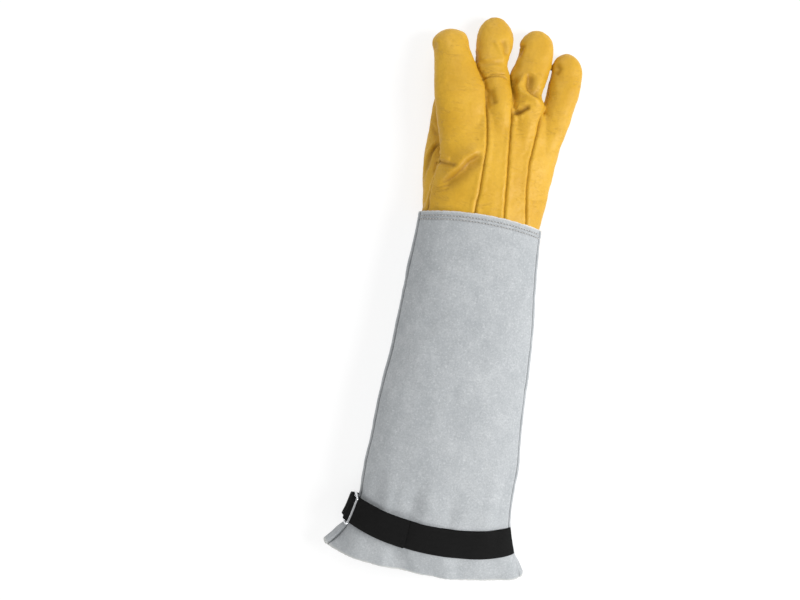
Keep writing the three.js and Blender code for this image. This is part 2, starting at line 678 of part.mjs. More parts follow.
const regions = {
  back_middle: (grow) => backStrip(MIDDLE, SEAM_INDEX_MIDDLE, SEAM_MIDDLE_RING, grow),
  back_ring: (grow) => backStrip(RING, SEAM_MIDDLE_RING, SEAM_RING_LITTLE, grow),
  front_middle: (grow) => fingerFront(MIDDLE, MIDDLE_BASE, SEAM_INDEX_MIDDLE, SEAM_MIDDLE_RING, grow),
  front_ring: (grow) => fingerFront(RING, RING_BASE, SEAM_MIDDLE_RING, SEAM_RING_LITTLE, grow),
  fourchette_index_middle: (grow) => fourchette(INDEX, MIDDLE, CROTCH.indexMiddle, grow),
  fourchette_middle_ring: (grow) => fourchette(MIDDLE, RING, CROTCH.middleRing, grow),
  fourchette_ring_little: (grow) => fourchette(RING, LITTLE, CROTCH.ringLittle, grow),
};

// Side strips are cut out first, then the fronts and the backs
const cutOrder = [
  'fourchette_index_middle', 'fourchette_middle_ring', 'fourchette_ring_little', 'front_middle',
  'front_ring', 'back_middle', 'back_ring',
];
let leather = handForm.subtract(handHollow).subtract(thumbForm).subtract(wedge(GAP));
for (const name of cutOrder) {
  const cut = leather.intersect(regions[name](0));
  piece(name, geometryOf(cut), 'yellow_leather');
  leather = leather.subtract(regions[name](GAP));
}
piece('palm_and_sides', geometryOf(leather), 'yellow_leather');
const thumb = thumbForm.subtract(thumbHollow).subtract(hand(-GAP)).subtract(wedge(GAP));
piece('thumb', geometryOf(thumb), 'yellow_leather');
piece('thumb_gusset', geometryOf(wholeSkin.intersect(wedge(0))), 'yellow_leather');

piece('gauntlet_back', gauntletPanel('back'), 'grey_suede');
piece('gauntlet_palm', gauntletPanel('palm'), 'grey_suede');
piece('wrist_patch', wristPatch(), 'yellow_leather');
piece('strap', ribbon(strapPath(), STRAP_BAND, WEBBING, 2), 'black_webbing');
piece('strap_anchor', ribbon(anchorPath(), STRAP_BAND, WEBBING, 2), 'black_webbing');
piece('strap_slide', strapSlide(), 'slide_metal');

export default glove;
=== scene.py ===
import math
import bmesh
import bpy
import numpy as np
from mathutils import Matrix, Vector, kdtree, noise


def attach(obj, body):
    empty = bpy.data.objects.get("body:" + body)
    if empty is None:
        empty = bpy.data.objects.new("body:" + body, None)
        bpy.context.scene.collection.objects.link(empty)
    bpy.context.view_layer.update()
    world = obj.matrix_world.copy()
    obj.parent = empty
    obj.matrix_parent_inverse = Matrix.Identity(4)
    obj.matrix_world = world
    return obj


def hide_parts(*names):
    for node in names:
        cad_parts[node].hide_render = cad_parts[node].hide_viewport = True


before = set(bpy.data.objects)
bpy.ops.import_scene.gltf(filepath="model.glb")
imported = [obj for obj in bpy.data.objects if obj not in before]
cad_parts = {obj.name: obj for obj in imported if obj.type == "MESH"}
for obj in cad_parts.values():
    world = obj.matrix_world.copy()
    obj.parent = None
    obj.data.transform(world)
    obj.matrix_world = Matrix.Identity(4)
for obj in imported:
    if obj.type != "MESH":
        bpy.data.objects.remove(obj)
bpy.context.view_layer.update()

# Lengths are in millimetres, measured from the middle of the gauntlet's upper edge: +Y to the
# fingertips, +X to the little finger, +Z up. CENTRE takes them to the frame's own origin.
MM = 0.001
CENTRE = np.array([-0.2, -76.55, 0.0])

# Photograph and camera
PHOTO_WIDTH = 800
CAMERA_HEIGHT = 1250.0
VIEW_CENTRE = (-69.6, -95.4)
VIEW_TURN = math.radians(9.6)
MM_PER_PIXEL_ON_FLOOR = 1.0812
SENSOR = 36.0

# Thicknesses and clearances
LEATHER = 1.6
SUEDE = 1.7
WEBBING = 1.4
PATCH = 1.2
SADDLE = 0.9
WIRE = 2.4
VOXEL = 1.1
HAND_TUCK = 12.0


def table(text):
    """Lines of numbers under a line of column names, as a dictionary of columns."""
    names, *rows = [line.split() for line in text.strip().splitlines()]
    return {name: np.array([row[i] for row in rows], float) for i, name in enumerate(names)}


def to_frame(points):
    return (np.asarray(points, float) - CENTRE) * MM


# dip is how far the middle of a row sags towards the hem, with a blunter curve for a smaller
# bend; skew moves the little-finger side alone
GAUNTLET = table("""
y left right side top low dip bend skew edge
0 -65.7 65.4 28 58 2.3 5.4 2 0.8 1
-42 -67 67.2 30 60 2.3 4 2 0 1
-58 -67.8 68.6 31 61 0 2.5 2 0 1
-95 -69.8 72.8 31 62 0 0 2 0 1
-150 -71.4 76.6 32 64 0 0 2 0 1
-205 -75.2 79 32 65 0 -1 2 0 1
-250 -77.2 83 32 67 0 -3 2 -1 1
-288 -77.6 83.2 32 68 0 -8 2 -4 1
-305 -78.6 85 31 64 0 -11 2 -5.2 1
-331 -85.6 94 29 62 0 -14 1.5 -5.2 1.1
-346 -96.4 102.4 26 57 0 -16.6 0.9 -2.6 1.3
-355 -106.4 106 23 53 0 -16.8 0.55 -0.4 1.5
""")
HEM = -355.0

# Soft puckers of the gauntlet's upper panel: positive stands up, negative is a hollow
PUCKERS = table("""
x y height width length
-62 -292 -3.2 7 16
-49 -300 2.2 6 20
-22 -300 -2.4 8 18
-6 -296 1.8 8 24
18 -304 -2.2 7 18
58 -300 2.2 8 30
70 -286 -2.8 6 34
-30 -352 -2.6 9 16
34 -354 -2.4 9 16
-70 -346 2.4 8 14
""")

HAND = table("""
y left right leftZ rightZ up down low
-14 -63.5 63.2 28 28 27.9 28 4.4
2 -62.6 63.2 28 28 27.9 28 4.4
14 -60 64.6 30 26 28.6 24 4
30 -57.4 66.4 33 23 28.4 20.5 0
44 -55.8 67.4 35.6 22.4 26.6 18.4 0
54 -55 68 37.4 22 24.6 17.2 0
66 -54.8 69 38.8 21.6 22.4 15.8 0
82 -58 70.8 40.4 20.8 19.2 14.4 0
98 -61.6 72.6 40.4 20 16.2 13.4 0
114 -65 74.6 39 19 12.5 11.5 0
122 -63 72 37.6 19 9 8.6 0
""")

INDEX = table("""
y left right mid up down
60 -52 -9.5 38 13.5 10
86 -59.8 -8.8 39 12.4 13
105 -65.4 -11.4 38.6 12.4 14
125 -70 -15 37.2 12.8 12.6
140 -73.2 -18.8 34 14 13
155 -75.9 -28 30 14.5 14
170 -78.2 -36.2 25.6 14.6 14
181 -81.4 -41.2 22.4 14 13.4
188 -79 -43 21 12.4 12
193.4 -74 -46 20.4 9.4 9.2
196.8 -68 -50 20 5.4 5.4
198.2 -63.4 -55.4 20 2 2
""")
MIDDLE = table("""
y left right mid up down
60 -7.6 18.4 38 14.4 12
90 -9.4 15.8 36 12.6 12
110 -12.6 14.4 34 13 13
125 -15 13.4 32 13.5 13.5
140 -19 9.8 28 14 14.5
150 -23.8 6.8 25.4 13.2 15
159 -30.4 4.8 22.4 13.6 15
170 -32.8 1.6 19.4 13.4 15
190 -35.4 3.9 14.6 13.4 14
203 -34.6 3 12.6 12.4 12.6
210.4 -31.4 -1.1 12 10.6 11
215.2 -27.4 -5.6 12 8 8.4
218.2 -23.4 -10.2 12 4.8 5
219.4 -20.6 -14.2 12 2 2
""")
RING = table("""
y left right mid up down
60 18.6 40.8 34 14 12
90 16.2 41.4 31.5 12.6 12
110 15.2 43.6 29.5 13.4 13
125 14.2 46.2 28 13.8 14
132 12.6 46.8 26 13.8 14.2
141 10.2 42.8 24 13.6 14.5
150 7.9 43.8 21 13.2 15
160 6.2 45.6 18.4 14.6 15.4
172 8.6 47.4 15.6 14.2 15
185 11.6 48 13.6 13 13.6
197 11.4 47.6 12.4 12 12.4
203.6 13.4 45.4 12 10.4 10.8
208.8 17.6 40.8 12 7.6 8
211.6 22 35.6 12 4.4 4.6
212.8 26 31.4 12 2 2
""")
LITTLE = table("""
y left right mid up down
60 41.6 64 25 11 10
88 42.2 70.6 22.5 12.6 14
110 44.4 75.8 20 14 16
125 45.6 78.6 18 14 16
134 46.4 80 17 13.8 15.8
144 47.8 81.4 15.6 13.4 15.2
156 48.6 82.4 14.4 13 14.4
168 49.6 82.8 12.8 11.8 12.8
179 49.6 81.8 11.8 11.2 11.8
186.6 52 77.8 11.4 9.4 9.6
191 55.6 73 11.2 6.6 6.6
193.6 59.2 68.8 11.2 3.8 3.8
194.6 62 65.6 11.2 1.8 1.8
""")
THUMB = table("""
y left right mid up down
4 -62 -20 24 9 18
12 -63.4 -14 22.4 12.6 20
28 -66 -9 19 15.4 19
46 -68.8 -9 16.8 15.6 16.8
64 -70 -15 14.8 13.6 14.8
80 -69.6 -24 13.4 11 13.4
100 -70 -27 12.6 10.8 12.6
120 -69.8 -28.6 12 11 12
132 -67 -32 11.6 10.2 11.6
139.6 -62.6 -39 11.2 7.2 8
143.4 -57 -45 11 4 4
144.6 -53.6 -49 11 1.8 1.8
""")

# Sewing lines seen from above
SEAM_INDEX_MIDDLE = table("""
x y
-8.4 -20
-8.2 5
-7.4 45.7
-6.9 66
-8.2 84
-10.6 100
-13 113
-15.2 127
-18.6 140
-26 151.4
-34 167
-40 188
-44 202
-44 240
""")
SEAM_MIDDLE_RING = table("""
x y
22.4 -20
22.4 5
19 50
17 70
15.6 88
14.5 105
13.8 118
10 140
4.9 160
5.4 175
7.2 190
5 240
""")
SEAM_RING_LITTLE = table("""
x y
46.6 -20
46.6 4
41 45
40.3 70
42.6 96
44 117
46.4 129
45.6 139
47 158
48.6 170
49.5 240
""")
FINGER_BASE = table("""
x y
-15.2 122
-12.5 112
5.6 115.5
15 114
29 113
42 117
46.3 127
""")
THUMB_EDGE = table("""
x y
-57.2 3
-58.3 15.6
-57.2 25.7
-55.6 41.6
-54.4 53.2
-53.4 60
""")
THUMB_WEDGE = table("""
y left right
2 -19.8 4.6
23 -18.4 2.5
48 -17 0.6
65.8 -15.9 -4.6
77.7 -15.7 -15.5
""")


def along(rows, name, y):
    """A column of a table at y, straight between the rows."""
    order = np.argsort(rows["y"])
    return np.interp(y, rows["y"][order], rows[name][order])


def catmull(a, b, c, d, t):
    """Catmull-Rom curve from b to c."""
    return 0.5 * (2 * b + (c - a) * t + (2 * a - 5 * b + 4 * c - d) * t ** 2
                  + (3 * b - a - 3 * c + d) * t ** 3)


def smooth_rows(rows, per_row):
    """Catmull-Rom curve through the rows, in every column."""
    data = np.stack(list(rows.values()), axis=1)
    padded = np.vstack([2 * data[0] - data[1], data, 2 * data[-1] - data[-2]])
    t = (np.arange(per_row) / per_row)[:, None]
    parts = [catmull(*padded[i:i + 4], t) for i in range(len(data) - 1)]
    data = np.vstack(parts + [data[-1:]])
    return {name: data[:, i] for i, name in enumerate(rows)}


def hermite(rows, y):
    """Smooth curve through the rows at any y, as the CAD sections use."""
    order = np.argsort(rows["y"])
    ys = rows["y"][order]
    y = np.asarray(y, float)
    i = np.clip(np.searchsorted(ys, y, side="left") - 1, 0, len(ys) - 2)
    before = np.maximum(i - 1, 0)
    after = np.minimum(i + 2, len(ys) - 1)
    span = ys[i + 1] - ys[i]
    t = np.clip((y - ys[i]) / span, 0, 1)
    result = {}
    for name in rows:
        if name == "y":
            continue
        v = rows[name][order]
        slope_a = (v[i + 1] - v[before]) / (ys[i + 1] - ys[before]) * span
        slope_b = (v[after] - v[i]) / (ys[after] - ys[i]) * span
        result[name] = ((2 * t ** 3 - 3 * t ** 2 + 1) * v[i] + (t ** 3 - 2 * t ** 2 + t) * slope_a
                        + (3 * t ** 2 - 2 * t ** 3) * v[i + 1] + (t ** 3 - t ** 2) * slope_b)
    return result


def rounded(value, fullness):
    return np.sign(value) * np.abs(value) ** fullness


def form_rings(rows, per_row, count, fullness=1.0):
    """Rings of the hand, or of a finger, which is level across and flattened on the floor."""
    row = {name: values[:, None] for name, values in smooth_rows(rows, per_row).items()}
    angle = np.linspace(0, 2 * np.pi, count, endpoint=False)[None, :]
    side = (1 + rounded(np.cos(angle), fullness)) / 2
    rise = rounded(np.sin(angle), fullness)
    x = row["left"] + (row["right"] - row["left"]) * side
    left_z, right_z = [row[name if name in row else "mid"] for name in ("leftZ", "rightZ")]
    z = left_z + (right_z - left_z) * side + np.where(rise > 0, row["up"], row["down"]) * rise
    return np.stack([x, row["y"] + 0 * x, np.maximum(z, row.get("low", 0))], axis=2)


def tube(rings, closed=False):
    """Vertices and faces of a tube through rings, capped at its ends or closed on itself."""
    rows, count = rings.shape[:2]
    faces = []
    for i in range(rows if closed else rows - 1):
        j = (i + 1) % rows
        for k in range(count):
            n = (k + 1) % count
            faces.append((i * count + k, j * count + k, j * count + n, i * count + n))
    if not closed:
        faces.append(tuple(range(count)))
        faces.append(tuple(reversed(range((rows - 1) * count, rows * count))))
    return rings.reshape(-1, 3), faces


def joined(parts):
    """Several (vertices, faces) as one."""
    vertices, faces, shift = [], [], 0
    for points, part_faces in parts:
        vertices.append(points)
        faces += [tuple(i + shift for i in face) for face in part_faces]
        shift += len(points)
    return np.vstack(vertices), faces


def run_along(points):
    """Length along each line of points, from its start."""
    step = np.linalg.norm(np.diff(points, axis=-2), axis=-1)
    return np.concatenate([np.zeros(step.shape[:-1] + (1,)), np.cumsum(step, axis=-1)], axis=-1)


def declare(piece, node=None):
    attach(piece, "root")
    if node:
        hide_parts(node)


def placed(name, data):
    obj = bpy.data.objects.new(name, data)
    bpy.context.scene.collection.objects.link(obj)
    return obj


def new_object(name, vertices, faces, smooth=True):
    """Object from millimetre vertices."""
    mesh = bpy.data.meshes.new(name)
    mesh.from_pydata([tuple(v) for v in to_frame(vertices)], [], [tuple(f) for f in faces])
    mesh.validate()
    mesh.update()
    if smooth:
        mesh.shade_smooth()
    return placed(name, mesh)


def apply_modifiers(obj):
    graph = bpy.context.evaluated_depsgraph_get()
    done = bpy.data.meshes.new_from_object(obj.evaluated_get(graph))
    old = obj.data
    obj.modifiers.clear()
    obj.data = done
    bpy.data.meshes.remove(old)


def neighbour_mean(points, edges):
    """Mean of the points that share an edge with each point."""
    a, b = edges.T
    total = np.zeros_like(points)
    for k in range(3):
        total[:, k] = (np.bincount(a, points[b, k], len(points))
                       + np.bincount(b, points[a, k], len(points)))
    return total / np.maximum(np.bincount(edges.ravel(), minlength=len(points)), 1)[:, None]


class Skin:
    """Closed surface of quads held as arrays, in millimetres."""

    def __init__(self, obj):
        mesh = obj.data
        self.points = np.empty(len(mesh.vertices) * 3)
        mesh.vertices.foreach_get("co", self.points)
        self.points = self.points.reshape(-1, 3) / MM + CENTRE
        self.faces = np.array([tuple(p.vertices) for p in mesh.polygons if len(p.vertices) == 4])
        pairs = np.vstack([self.faces[:, [k, (k + 1) % 4]] for k in range(4)])
        self.pairs = np.sort(pairs, axis=1)
        self.owner = np.tile(np.arange(len(self.faces)), 4)
        self.edges = np.unique(self.pairs, axis=0)

    def smooth(self, times, amount=0.5, weight=1.0):
        for _ in range(times):
            shift = neighbour_mean(self.points, self.edges) - self.points
            self.points += amount * shift * np.reshape(weight, (-1, 1))

    def normals(self):
        p = self.points
        a, b, c, d = self.faces.T
        face = np.cross(p[c] - p[a], p[d] - p[b])
        total = np.zeros_like(p)
        for corner in (a, b, c, d):
            for k in range(3):
                total[:, k] += np.bincount(corner, face[:, k], len(p))
        return total / np.maximum(np.linalg.norm(total, axis=1), 1e-9)[:, None]

    def centres(self):
        return self.points[self.faces].mean(axis=1)

    def neighbours(self):
        """Edges between two faces, and both faces."""
        order = np.lexsort((self.pairs[:, 1], self.pairs[:, 0]))
        pairs, owner = self.pairs[order], self.owner[order]
        first = np.nonzero(np.all(pairs[1:] == pairs[:-1], axis=1))[0]
        return pairs[first], owner[first], owner[first + 1]


def smoothstep(low, high, value):
    t = np.clip((value - low) / (high - low), 0, 1)
    return t * t * (3 - 2 * t)


def ray_distance(rows, p):
    """Rough distance outside a finger, in millimetres; negative inside."""
    y = p[:, 1]
    left, right = along(rows, "left", y), along(rows, "right", y)
    half = (right - left) / 2
    rise = p[:, 2] - along(rows, "mid", y)
    reach = np.where(rise > 0, along(rows, "up", y), along(rows, "down", y))
    size = np.hypot((p[:, 0] - (left + right) / 2) / half, rise / reach)
    past = np.maximum(y - rows["y"].max(), rows["y"].min() - y)
    return np.where(past > 0, 99.0, (size - 1) * np.minimum(half, reach))


def hand_distance(p):
    y = p[:, 1]
    left, right = along(HAND, "left", y), along(HAND, "right", y)
    side = (p[:, 0] - left) / (right - left)
    chord = along(HAND, "leftZ", y) + (along(HAND, "rightZ", y) - along(HAND, "leftZ", y)) * side
    rise = p[:, 2] - chord
    reach = np.where(rise > 0, along(HAND, "up", y), along(HAND, "down", y))
    size = np.hypot(2 * side - 1, rise / reach)
    return np.where(y > 122, 99.0, (size - 1) * reach)


PANELS = [
    "palm_and_sides", "back_middle", "back_ring", "front_middle", "front_ring",
    "fourchette_index_middle", "fourchette_middle_ring", "fourchette_ring_little", "thumb",
    "thumb_gusset",
]
# Panel number, the fingers at its left and right, and where it starts and ends
FOURCHETTES = [
    (5, INDEX, MIDDLE, 126, 178), (6, MIDDLE, RING, 122, 194), (7, RING, LITTLE, 130, 176),
]


def panel_of(p):
    """Which leather panel each point belongs to."""
    x, y, z = p.T
    index_middle = along(SEAM_INDEX_MIDDLE, "x", y)
    middle_ring = along(SEAM_MIDDLE_RING, "x", y)
    ring_little = along(SEAM_RING_LITTLE, "x", y)
    panel = np.zeros(len(p), int)
    for number, rows, left, right, front in ((1, MIDDLE, index_middle, middle_ring, 3),
                                             (2, RING, middle_ring, ring_little, 4)):
        inside = (x > left) & (x < right)
        parting = np.where(y < 60, 31, along(rows, "mid", y))
        panel[inside & (z > parting)] = number
        base = np.interp(x, FINGER_BASE["x"], FINGER_BASE["y"])
        panel[inside & (z <= parting) & (y > base)] = front
    for number, left, right, crotch, tip in FOURCHETTES:
        a = (along(left, "left", y) + along(left, "right", y)) / 2
        b = (along(right, "left", y) + along(right, "right", y)) / 2
        part = (y - (crotch - 9)) / (tip - crotch + 9)
        height = np.interp(part, [0, 0.5, 1], [6.6, 4.6, 1.5])
        share = np.clip((x - a) / np.maximum(b - a, 1), 0, 1)
        line = along(left, "mid", y) * (1 - share) + along(right, "mid", y) * share - 3.0
        inside = (x > a) & (x < b) & (part > 0) & (part < 1) & (np.abs(z - line) < height)
        panel[inside] = number
    thumb_edge = np.interp(y, THUMB_EDGE["y"], THUMB_EDGE["x"])
    panel[(x < thumb_edge) & (y > 0) & (y < 60) & (z < 46)] = 8
    on_thumb = ray_distance(THUMB, p) < np.minimum(hand_distance(p), ray_distance(INDEX, p))
    on_thumb &= ray_distance(THUMB, p) < ray_distance(MIDDLE, p)
    panel[on_thumb & (y > 3) & (z < 40)] = 8
    in_wedge = (x > along(THUMB_WEDGE, "left", y)) & (x < along(THUMB_WEDGE, "right", y))
    panel[in_wedge & (y < 77.7) & (y > 2) & (z < 26)] = 9
    return panel


# Folds of the hand leather, as lines in plan. height is positive for a ridge and negative for a
# crease, left and right are the widths of its two slopes seen along the path, and side is 1 for
# the back of the hand and -1 for the palm.
FOLDS = """
# height left right side: path of x,y
# Index knuckle: a roll with a steep lower slope, and the small crease at its left end
3.3 4.4 9 1: -9,71 -20.6,65.4 -28,59.2 -32,50.1 -40.7,43 -50,35
-3.8 8 3.4 1: -8.6,70 -13.5,66.2 -23.2,56.8 -28.8,48.1 -37.1,38.9 -45.7,31.8 -51,28
-1.9 2.2 2.4 1: -59,54.8 -54.5,54.3 -47.2,52.7 -39.2,51.4 -33,52.4
1.2 3 3.4 1: -56,60 -48,57.6 -42,56
-0.7 1.3 1.3 1: -38,32 -46.5,28.2 -53,25.6
-0.7 1.3 1.3 1: -38,28 -45.9,24.4 -53,22.4
# Middle finger: two close creases, a shadowed dent beside the index, and the top segment
-1.3 1 1.1 1: -26,145 -17.2,151.2 -10.3,153 -3.4,154 0,153 5.6,150.6
-1.1 1 1 1: -18.5,152 -13.4,154.8 -9.2,155.3 -4.4,156.5 2.4,158
-0.45 1.6 1.6 1: -27,156 -14.2,159.8 -1,161.4
-0.9 1.8 2.6 1: -29,163.4 -18.1,166.5 -4,169.6
0.5 2.4 2.4 1: -27,168 -17,171 -6,173
-2.1 4 5 1: -15,140 -12.8,133.4 -9.6,127 -6,121
1.3 3.2 2.4 1: -19,193 -12,186 -6.2,178 -3,169
-2 3.4 3.6 1: -9,195 -4.3,187 -1.6,177
-0.35 0.9 0.9 1: -4.3,109.4 1,107.2 7.5,101.8
-0.32 0.9 0.9 1: -5.5,106.2 0.8,103.8 6.6,98.6
-0.28 0.9 0.9 1: -5,103 1.1,100.4 5.4,96
-0.28 1 1 1: -6.6,113 0,110.8 7.8,105.4
# Ring finger: a blunt ridge that turns across the finger, with a deep hollow on its right
3.2 2.6 3.8 1: 17.4,163 18,156.7 17.2,150.9 16.4,145.7 19.3,140.6 25.2,137.4 32,134.8 39.4,133 44.6,129
-4.6 6.8 2.6 1: 24.6,165 25.6,155.4 25.4,149.3 27.2,145.6 31.5,142.6 42,138.4
-3.4 2.8 2.4 1: 14.2,121 17.4,118.4 20.6,119.6 25,123.4 31.8,127
0.9 3.4 3.4 1: 13.4,114.6 19,112.8 26,116
-0.6 1.2 1.2 1: 20,126.6 26.1,127 31,127.8
-1.2 2.6 2.6 1: 11,158 12,150 13.6,140 15.1,129
# Fingertips
-1.6 2.4 2.8 1: 14.2,195 12.6,187.4 10.6,180
-1.6 3 3 1: 52,180 56,174.6 53,167
-1.2 2.2 2.2 1: -82,180.6 -77.6,176.6 -78.6,170
-1 2.6 2.6 1: -36,181 -32.6,172 -31,163
# Thumb, where it shows beside the index
-1.9 1.8 1.8 1: -55,79 -57.2,74.2 -60.8,70 -63.1,62.5 -64.1,51.5 -64.6,42
-1.2 1.5 1.5 1: -57,78 -58.6,74 -64,63.7 -66.5,53.3 -65.2,34
-0.9 2 2 1: -68,96 -63,88 -58,84
# Palm side
-1.4 3 3 -1: 52,116 60,112 70,114
-1.6 3.4 3.4 -1: -16,104 2,108 20,106 44,108
-0.8 2.6 2.6 -1: -10,96 8,100 26,98
-1.4 3 3 -1: -40,112 -26,106 -14,110
-0.9 3.2 3.2 -1: 8,84 26,74 40,56
-1.6 3.2 3.2 -1: -62,78 -48,84 -32,80
-0.9 2.4 2.4 -1: -60,70 -46,74 -30,70
-0.8 3 3 -1: 20,40 36,30 52,26
-1 2.4 2.4 -1: -30,158 -14,156 4,158
-1 2.4 2.4 -1: 8,158 26,154 44,158
-1 2.4 2.4 -1: 50,150 64,147 80,150
-1 2.4 2.4 -1: -72,152 -52,148 -30,150
"""


def line_distance(points, path):
    """Distance in plan to a path, and the share of its length at the nearest point."""
    path = np.array(path, float)
    seg = np.diff(path, axis=0)
    length = np.linalg.norm(seg, axis=1)
    start = run_along(path)[:-1]
    best = np.full(len(points), 1e9)
    share = np.zeros(len(points))
    side = np.zeros(len(points))
    for a, d, size, before in zip(path[:-1], seg, length, start):
        t = np.clip(((points - a) @ d) / size ** 2, 0, 1)
        away = points - (a + t[:, None] * d)
        distance = np.linalg.norm(away, axis=1)
        nearer = distance < best
        best[nearer] = distance[nearer]
        share[nearer] = ((before + t * size) / length.sum())[nearer]
        side[nearer] = np.sign(d[0] * away[:, 1] - d[1] * away[:, 0])[nearer]
    return best, share, side


def noise_field(points, size, seed, octaves=2):
    """Smooth noise at points, with features of the given size in millimetres."""
    offset = Vector((seed * 17.3, seed * 5.1, seed * 9.7))
    values = [noise.fractal(Vector(p) / size + offset, 0.9, 2.0, octaves) for p in points]
    return np.array(values)


def border_edges(skin, panel):
    """Edges between two panels, and the panels on both sides of each."""
    edges, left, right = skin.neighbours()
    sides = np.sort(np.stack([panel[left], panel[right]], axis=1), axis=1)
    cut = sides[:, 0] != sides[:, 1]
    return edges[cut], sides[cut]


def beside(skin):
    """Each face and a face next to it, once in both directions."""
    _, left, right = skin.neighbours()
    return np.concatenate([left, right]), np.concatenate([right, left])


def votes_of(panel, face, other):
    """How many neighbours of each face lie in each panel."""
    votes = np.zeros((len(panel), len(PANELS)))
    np.add.at(votes, (face, panel[other]), 1)
    return votes


def clean_panels(skin, panel, times=3):
    """Removes specks: a face with three neighbours of another panel joins them."""
    for _ in range(times):
        votes = votes_of(panel, *beside(skin))
        panel = np.where(votes.max(axis=1) >= 3, votes.argmax(axis=1), panel)
    return panel


def keep_main_parts(skin, panel):
    """Every panel keeps its largest connected part; the rest joins its neighbours."""
    face, other = beside(skin)
    for _ in range(4):
        label = np.arange(len(panel))
        same = panel[face] == panel[other]
        for _ in range(400):
            before = label.copy()
            np.minimum.at(label, face[same], before[other[same]])
            label = label[label]
            if np.array_equal(before, label):
                break
        sizes = np.bincount(label, minlength=len(panel))
        loose = np.zeros(len(panel), bool)
        for number in range(len(PANELS)):
            members = panel == number
            if members.any():
                main = label[members][np.argmax(sizes[label[members]])]
                loose |= members & (label != main)
        if not loose.any():
            break
        usable = loose[face] & ~loose[other]
        votes = votes_of(panel, face[usable], other[usable])
        panel = np.where(loose & (votes.max(axis=1) > 0), votes.argmax(axis=1), panel)
    return panel


# Depth and width of the sewn groove between each kind of neighbour
def groove_of(pair):
    low, high = pair
    if high <= 2:
        return 2.3, 1.0
    if high == 9:
        return 0.9, 1.1
    if high == 8:
        return 1.8, 1.5
    if high in (5, 6, 7):
        return 1.0, 1.1
    return 1.2, 1.2


def seam_fields(skin, edges, kinds):
    """Groove depth and distance to the nearest seam for each vertex."""
    tree = kdtree.KDTree(len(edges))
    middle = skin.points[edges].mean(axis=1)
    for i, point in enumerate(middle):
        tree.insert(Vector(point), i)
    tree.balance()
    nearest = [tree.find(Vector(p)) for p in skin.points]
    index = np.array([n[1] for n in nearest])
    distance = np.array([n[2] for n in nearest])
    grooves = np.array([groove_of(pair) for pair in kinds])
    return distance, grooves[index, 0], grooves[index, 1]


def smooth_borders(skin, edges, times=14):
    """Takes the steps out of the borders between panels."""
    count = np.bincount(edges.ravel(), minlength=len(skin.points))
    plain = count == 2
    for _ in range(times):
        mean = neighbour_mean(skin.points, edges)
        skin.points[plain] += 0.5 * (mean[plain] - skin.points[plain])
    border = count > 0
    beside = np.zeros(len(border), bool)
    a, b = skin.edges.T
    beside[a[border[b]]] = True
    beside[b[border[a]]] = True
    skin.smooth(4, weight=beside & ~border)


def hand_skin():
    """Seamless outer surface of the whole hand, as quads."""
    forms = [form_rings(HAND, 8, 72)]
    forms += [form_rings(rows, 6, 48, 0.92) for rows in (INDEX, MIDDLE, RING, LITTLE, THUMB)]
    obj = new_object("hand_form", *joined(tube(rings) for rings in forms))
    remesh = obj.modifiers.new("skin", "REMESH")
    remesh.mode = "VOXEL"
    remesh.voxel_size = VOXEL * MM
    remesh.adaptivity = 0.0
    apply_modifiers(obj)
    skin = Skin(obj)
    bpy.data.objects.remove(obj)
    return skin


def shape_hand(skin):
    """Seams, folds and soft unevenness; returns each face's panel and each vertex's shade."""
    skin.smooth(4)
    panel = clean_panels(skin, panel_of(skin.centres()))
    panel = keep_main_parts(skin, panel)
    edges, kinds = border_edges(skin, panel)
    smooth_borders(skin, edges)
    normals = skin.normals()
    points = skin.points
    move = np.zeros(len(points))
    shade = np.zeros(len(points))

    for fold in FOLDS.strip().splitlines():
        if fold.startswith("#"):
            continue
        sizes, path = fold.split(":")
        height, left, right, side = [float(size) for size in sizes.split()]
        path = [[float(value) for value in point.split(",")] for point in path.split()]
        distance, share, hand_side = line_distance(points[:, :2], path)
        width = np.where(hand_side > 0, left, right)
        ends = smoothstep(0, 0.22, share) * smoothstep(0, 0.22, 1 - share)
        facing = smoothstep(0.0, 0.4, normals[:, 2] * side)
        weight = ends * facing * np.exp(-(distance / width) ** 2)
        if height < 0:
            shoulder = ends * facing * np.exp(-((distance - 1.9 * width) / width) ** 2)
            move -= 0.25 * height * shoulder * (width < 3)
            shade -= 1.5 * height / (3.0 + width) * weight
        move += height * weight

    distance, depth, width = seam_fields(skin, edges, kinds)
    pull = 1 + 0.35 * noise_field(points, 9.0, 3)
    move -= depth * np.exp(-(distance / width) ** 2)
    move += 0.22 * depth * np.exp(-((distance - 3.6) / 2.4) ** 2) * pull
    shade += 1.1 * np.exp(-(distance / (0.65 * width)) ** 2)
    gather = np.exp(-((distance - 3.0) / 3.2) ** 2)
    move += 0.28 * gather * noise_field(points, 3.6, 5)

    move += 0.9 * noise_field(points, 26.0, 1) + 0.22 * noise_field(points, 7.0, 2)
    inside_cuff = smoothstep(-1.0, 6.0, points[:, 1])
    skin.points = points + normals * (move * inside_cuff)[:, None]
    skin.points[:, 2] = np.maximum(skin.points[:, 2], 0.0)
    return panel, np.clip(shade, 0, 1)


def add_values(mesh, label, values):
    attribute = mesh.attributes.new(label, "FLOAT", "POINT")
    attribute.data.foreach_set("value", np.asarray(values, np.float32))


def panel_object(skin, faces, name, shade):
    used, local = np.unique(faces, return_inverse=True)
    obj = new_object(name, skin.points[used], local.reshape(-1, faces.shape[1]))
    add_values(obj.data, "shade", shade[used])
    wall = obj.modifiers.new("wall", "SOLIDIFY")
    wall.thickness = LEATHER * MM
    wall.offset = -1
    wall.use_rim = True
    apply_modifiers(obj)
    obj.data.shade_smooth()
    obj.data.set_sharp_from_angle(angle=math.radians(55))
    obj.data.materials.append(LEATHER_FINISH)
    return obj


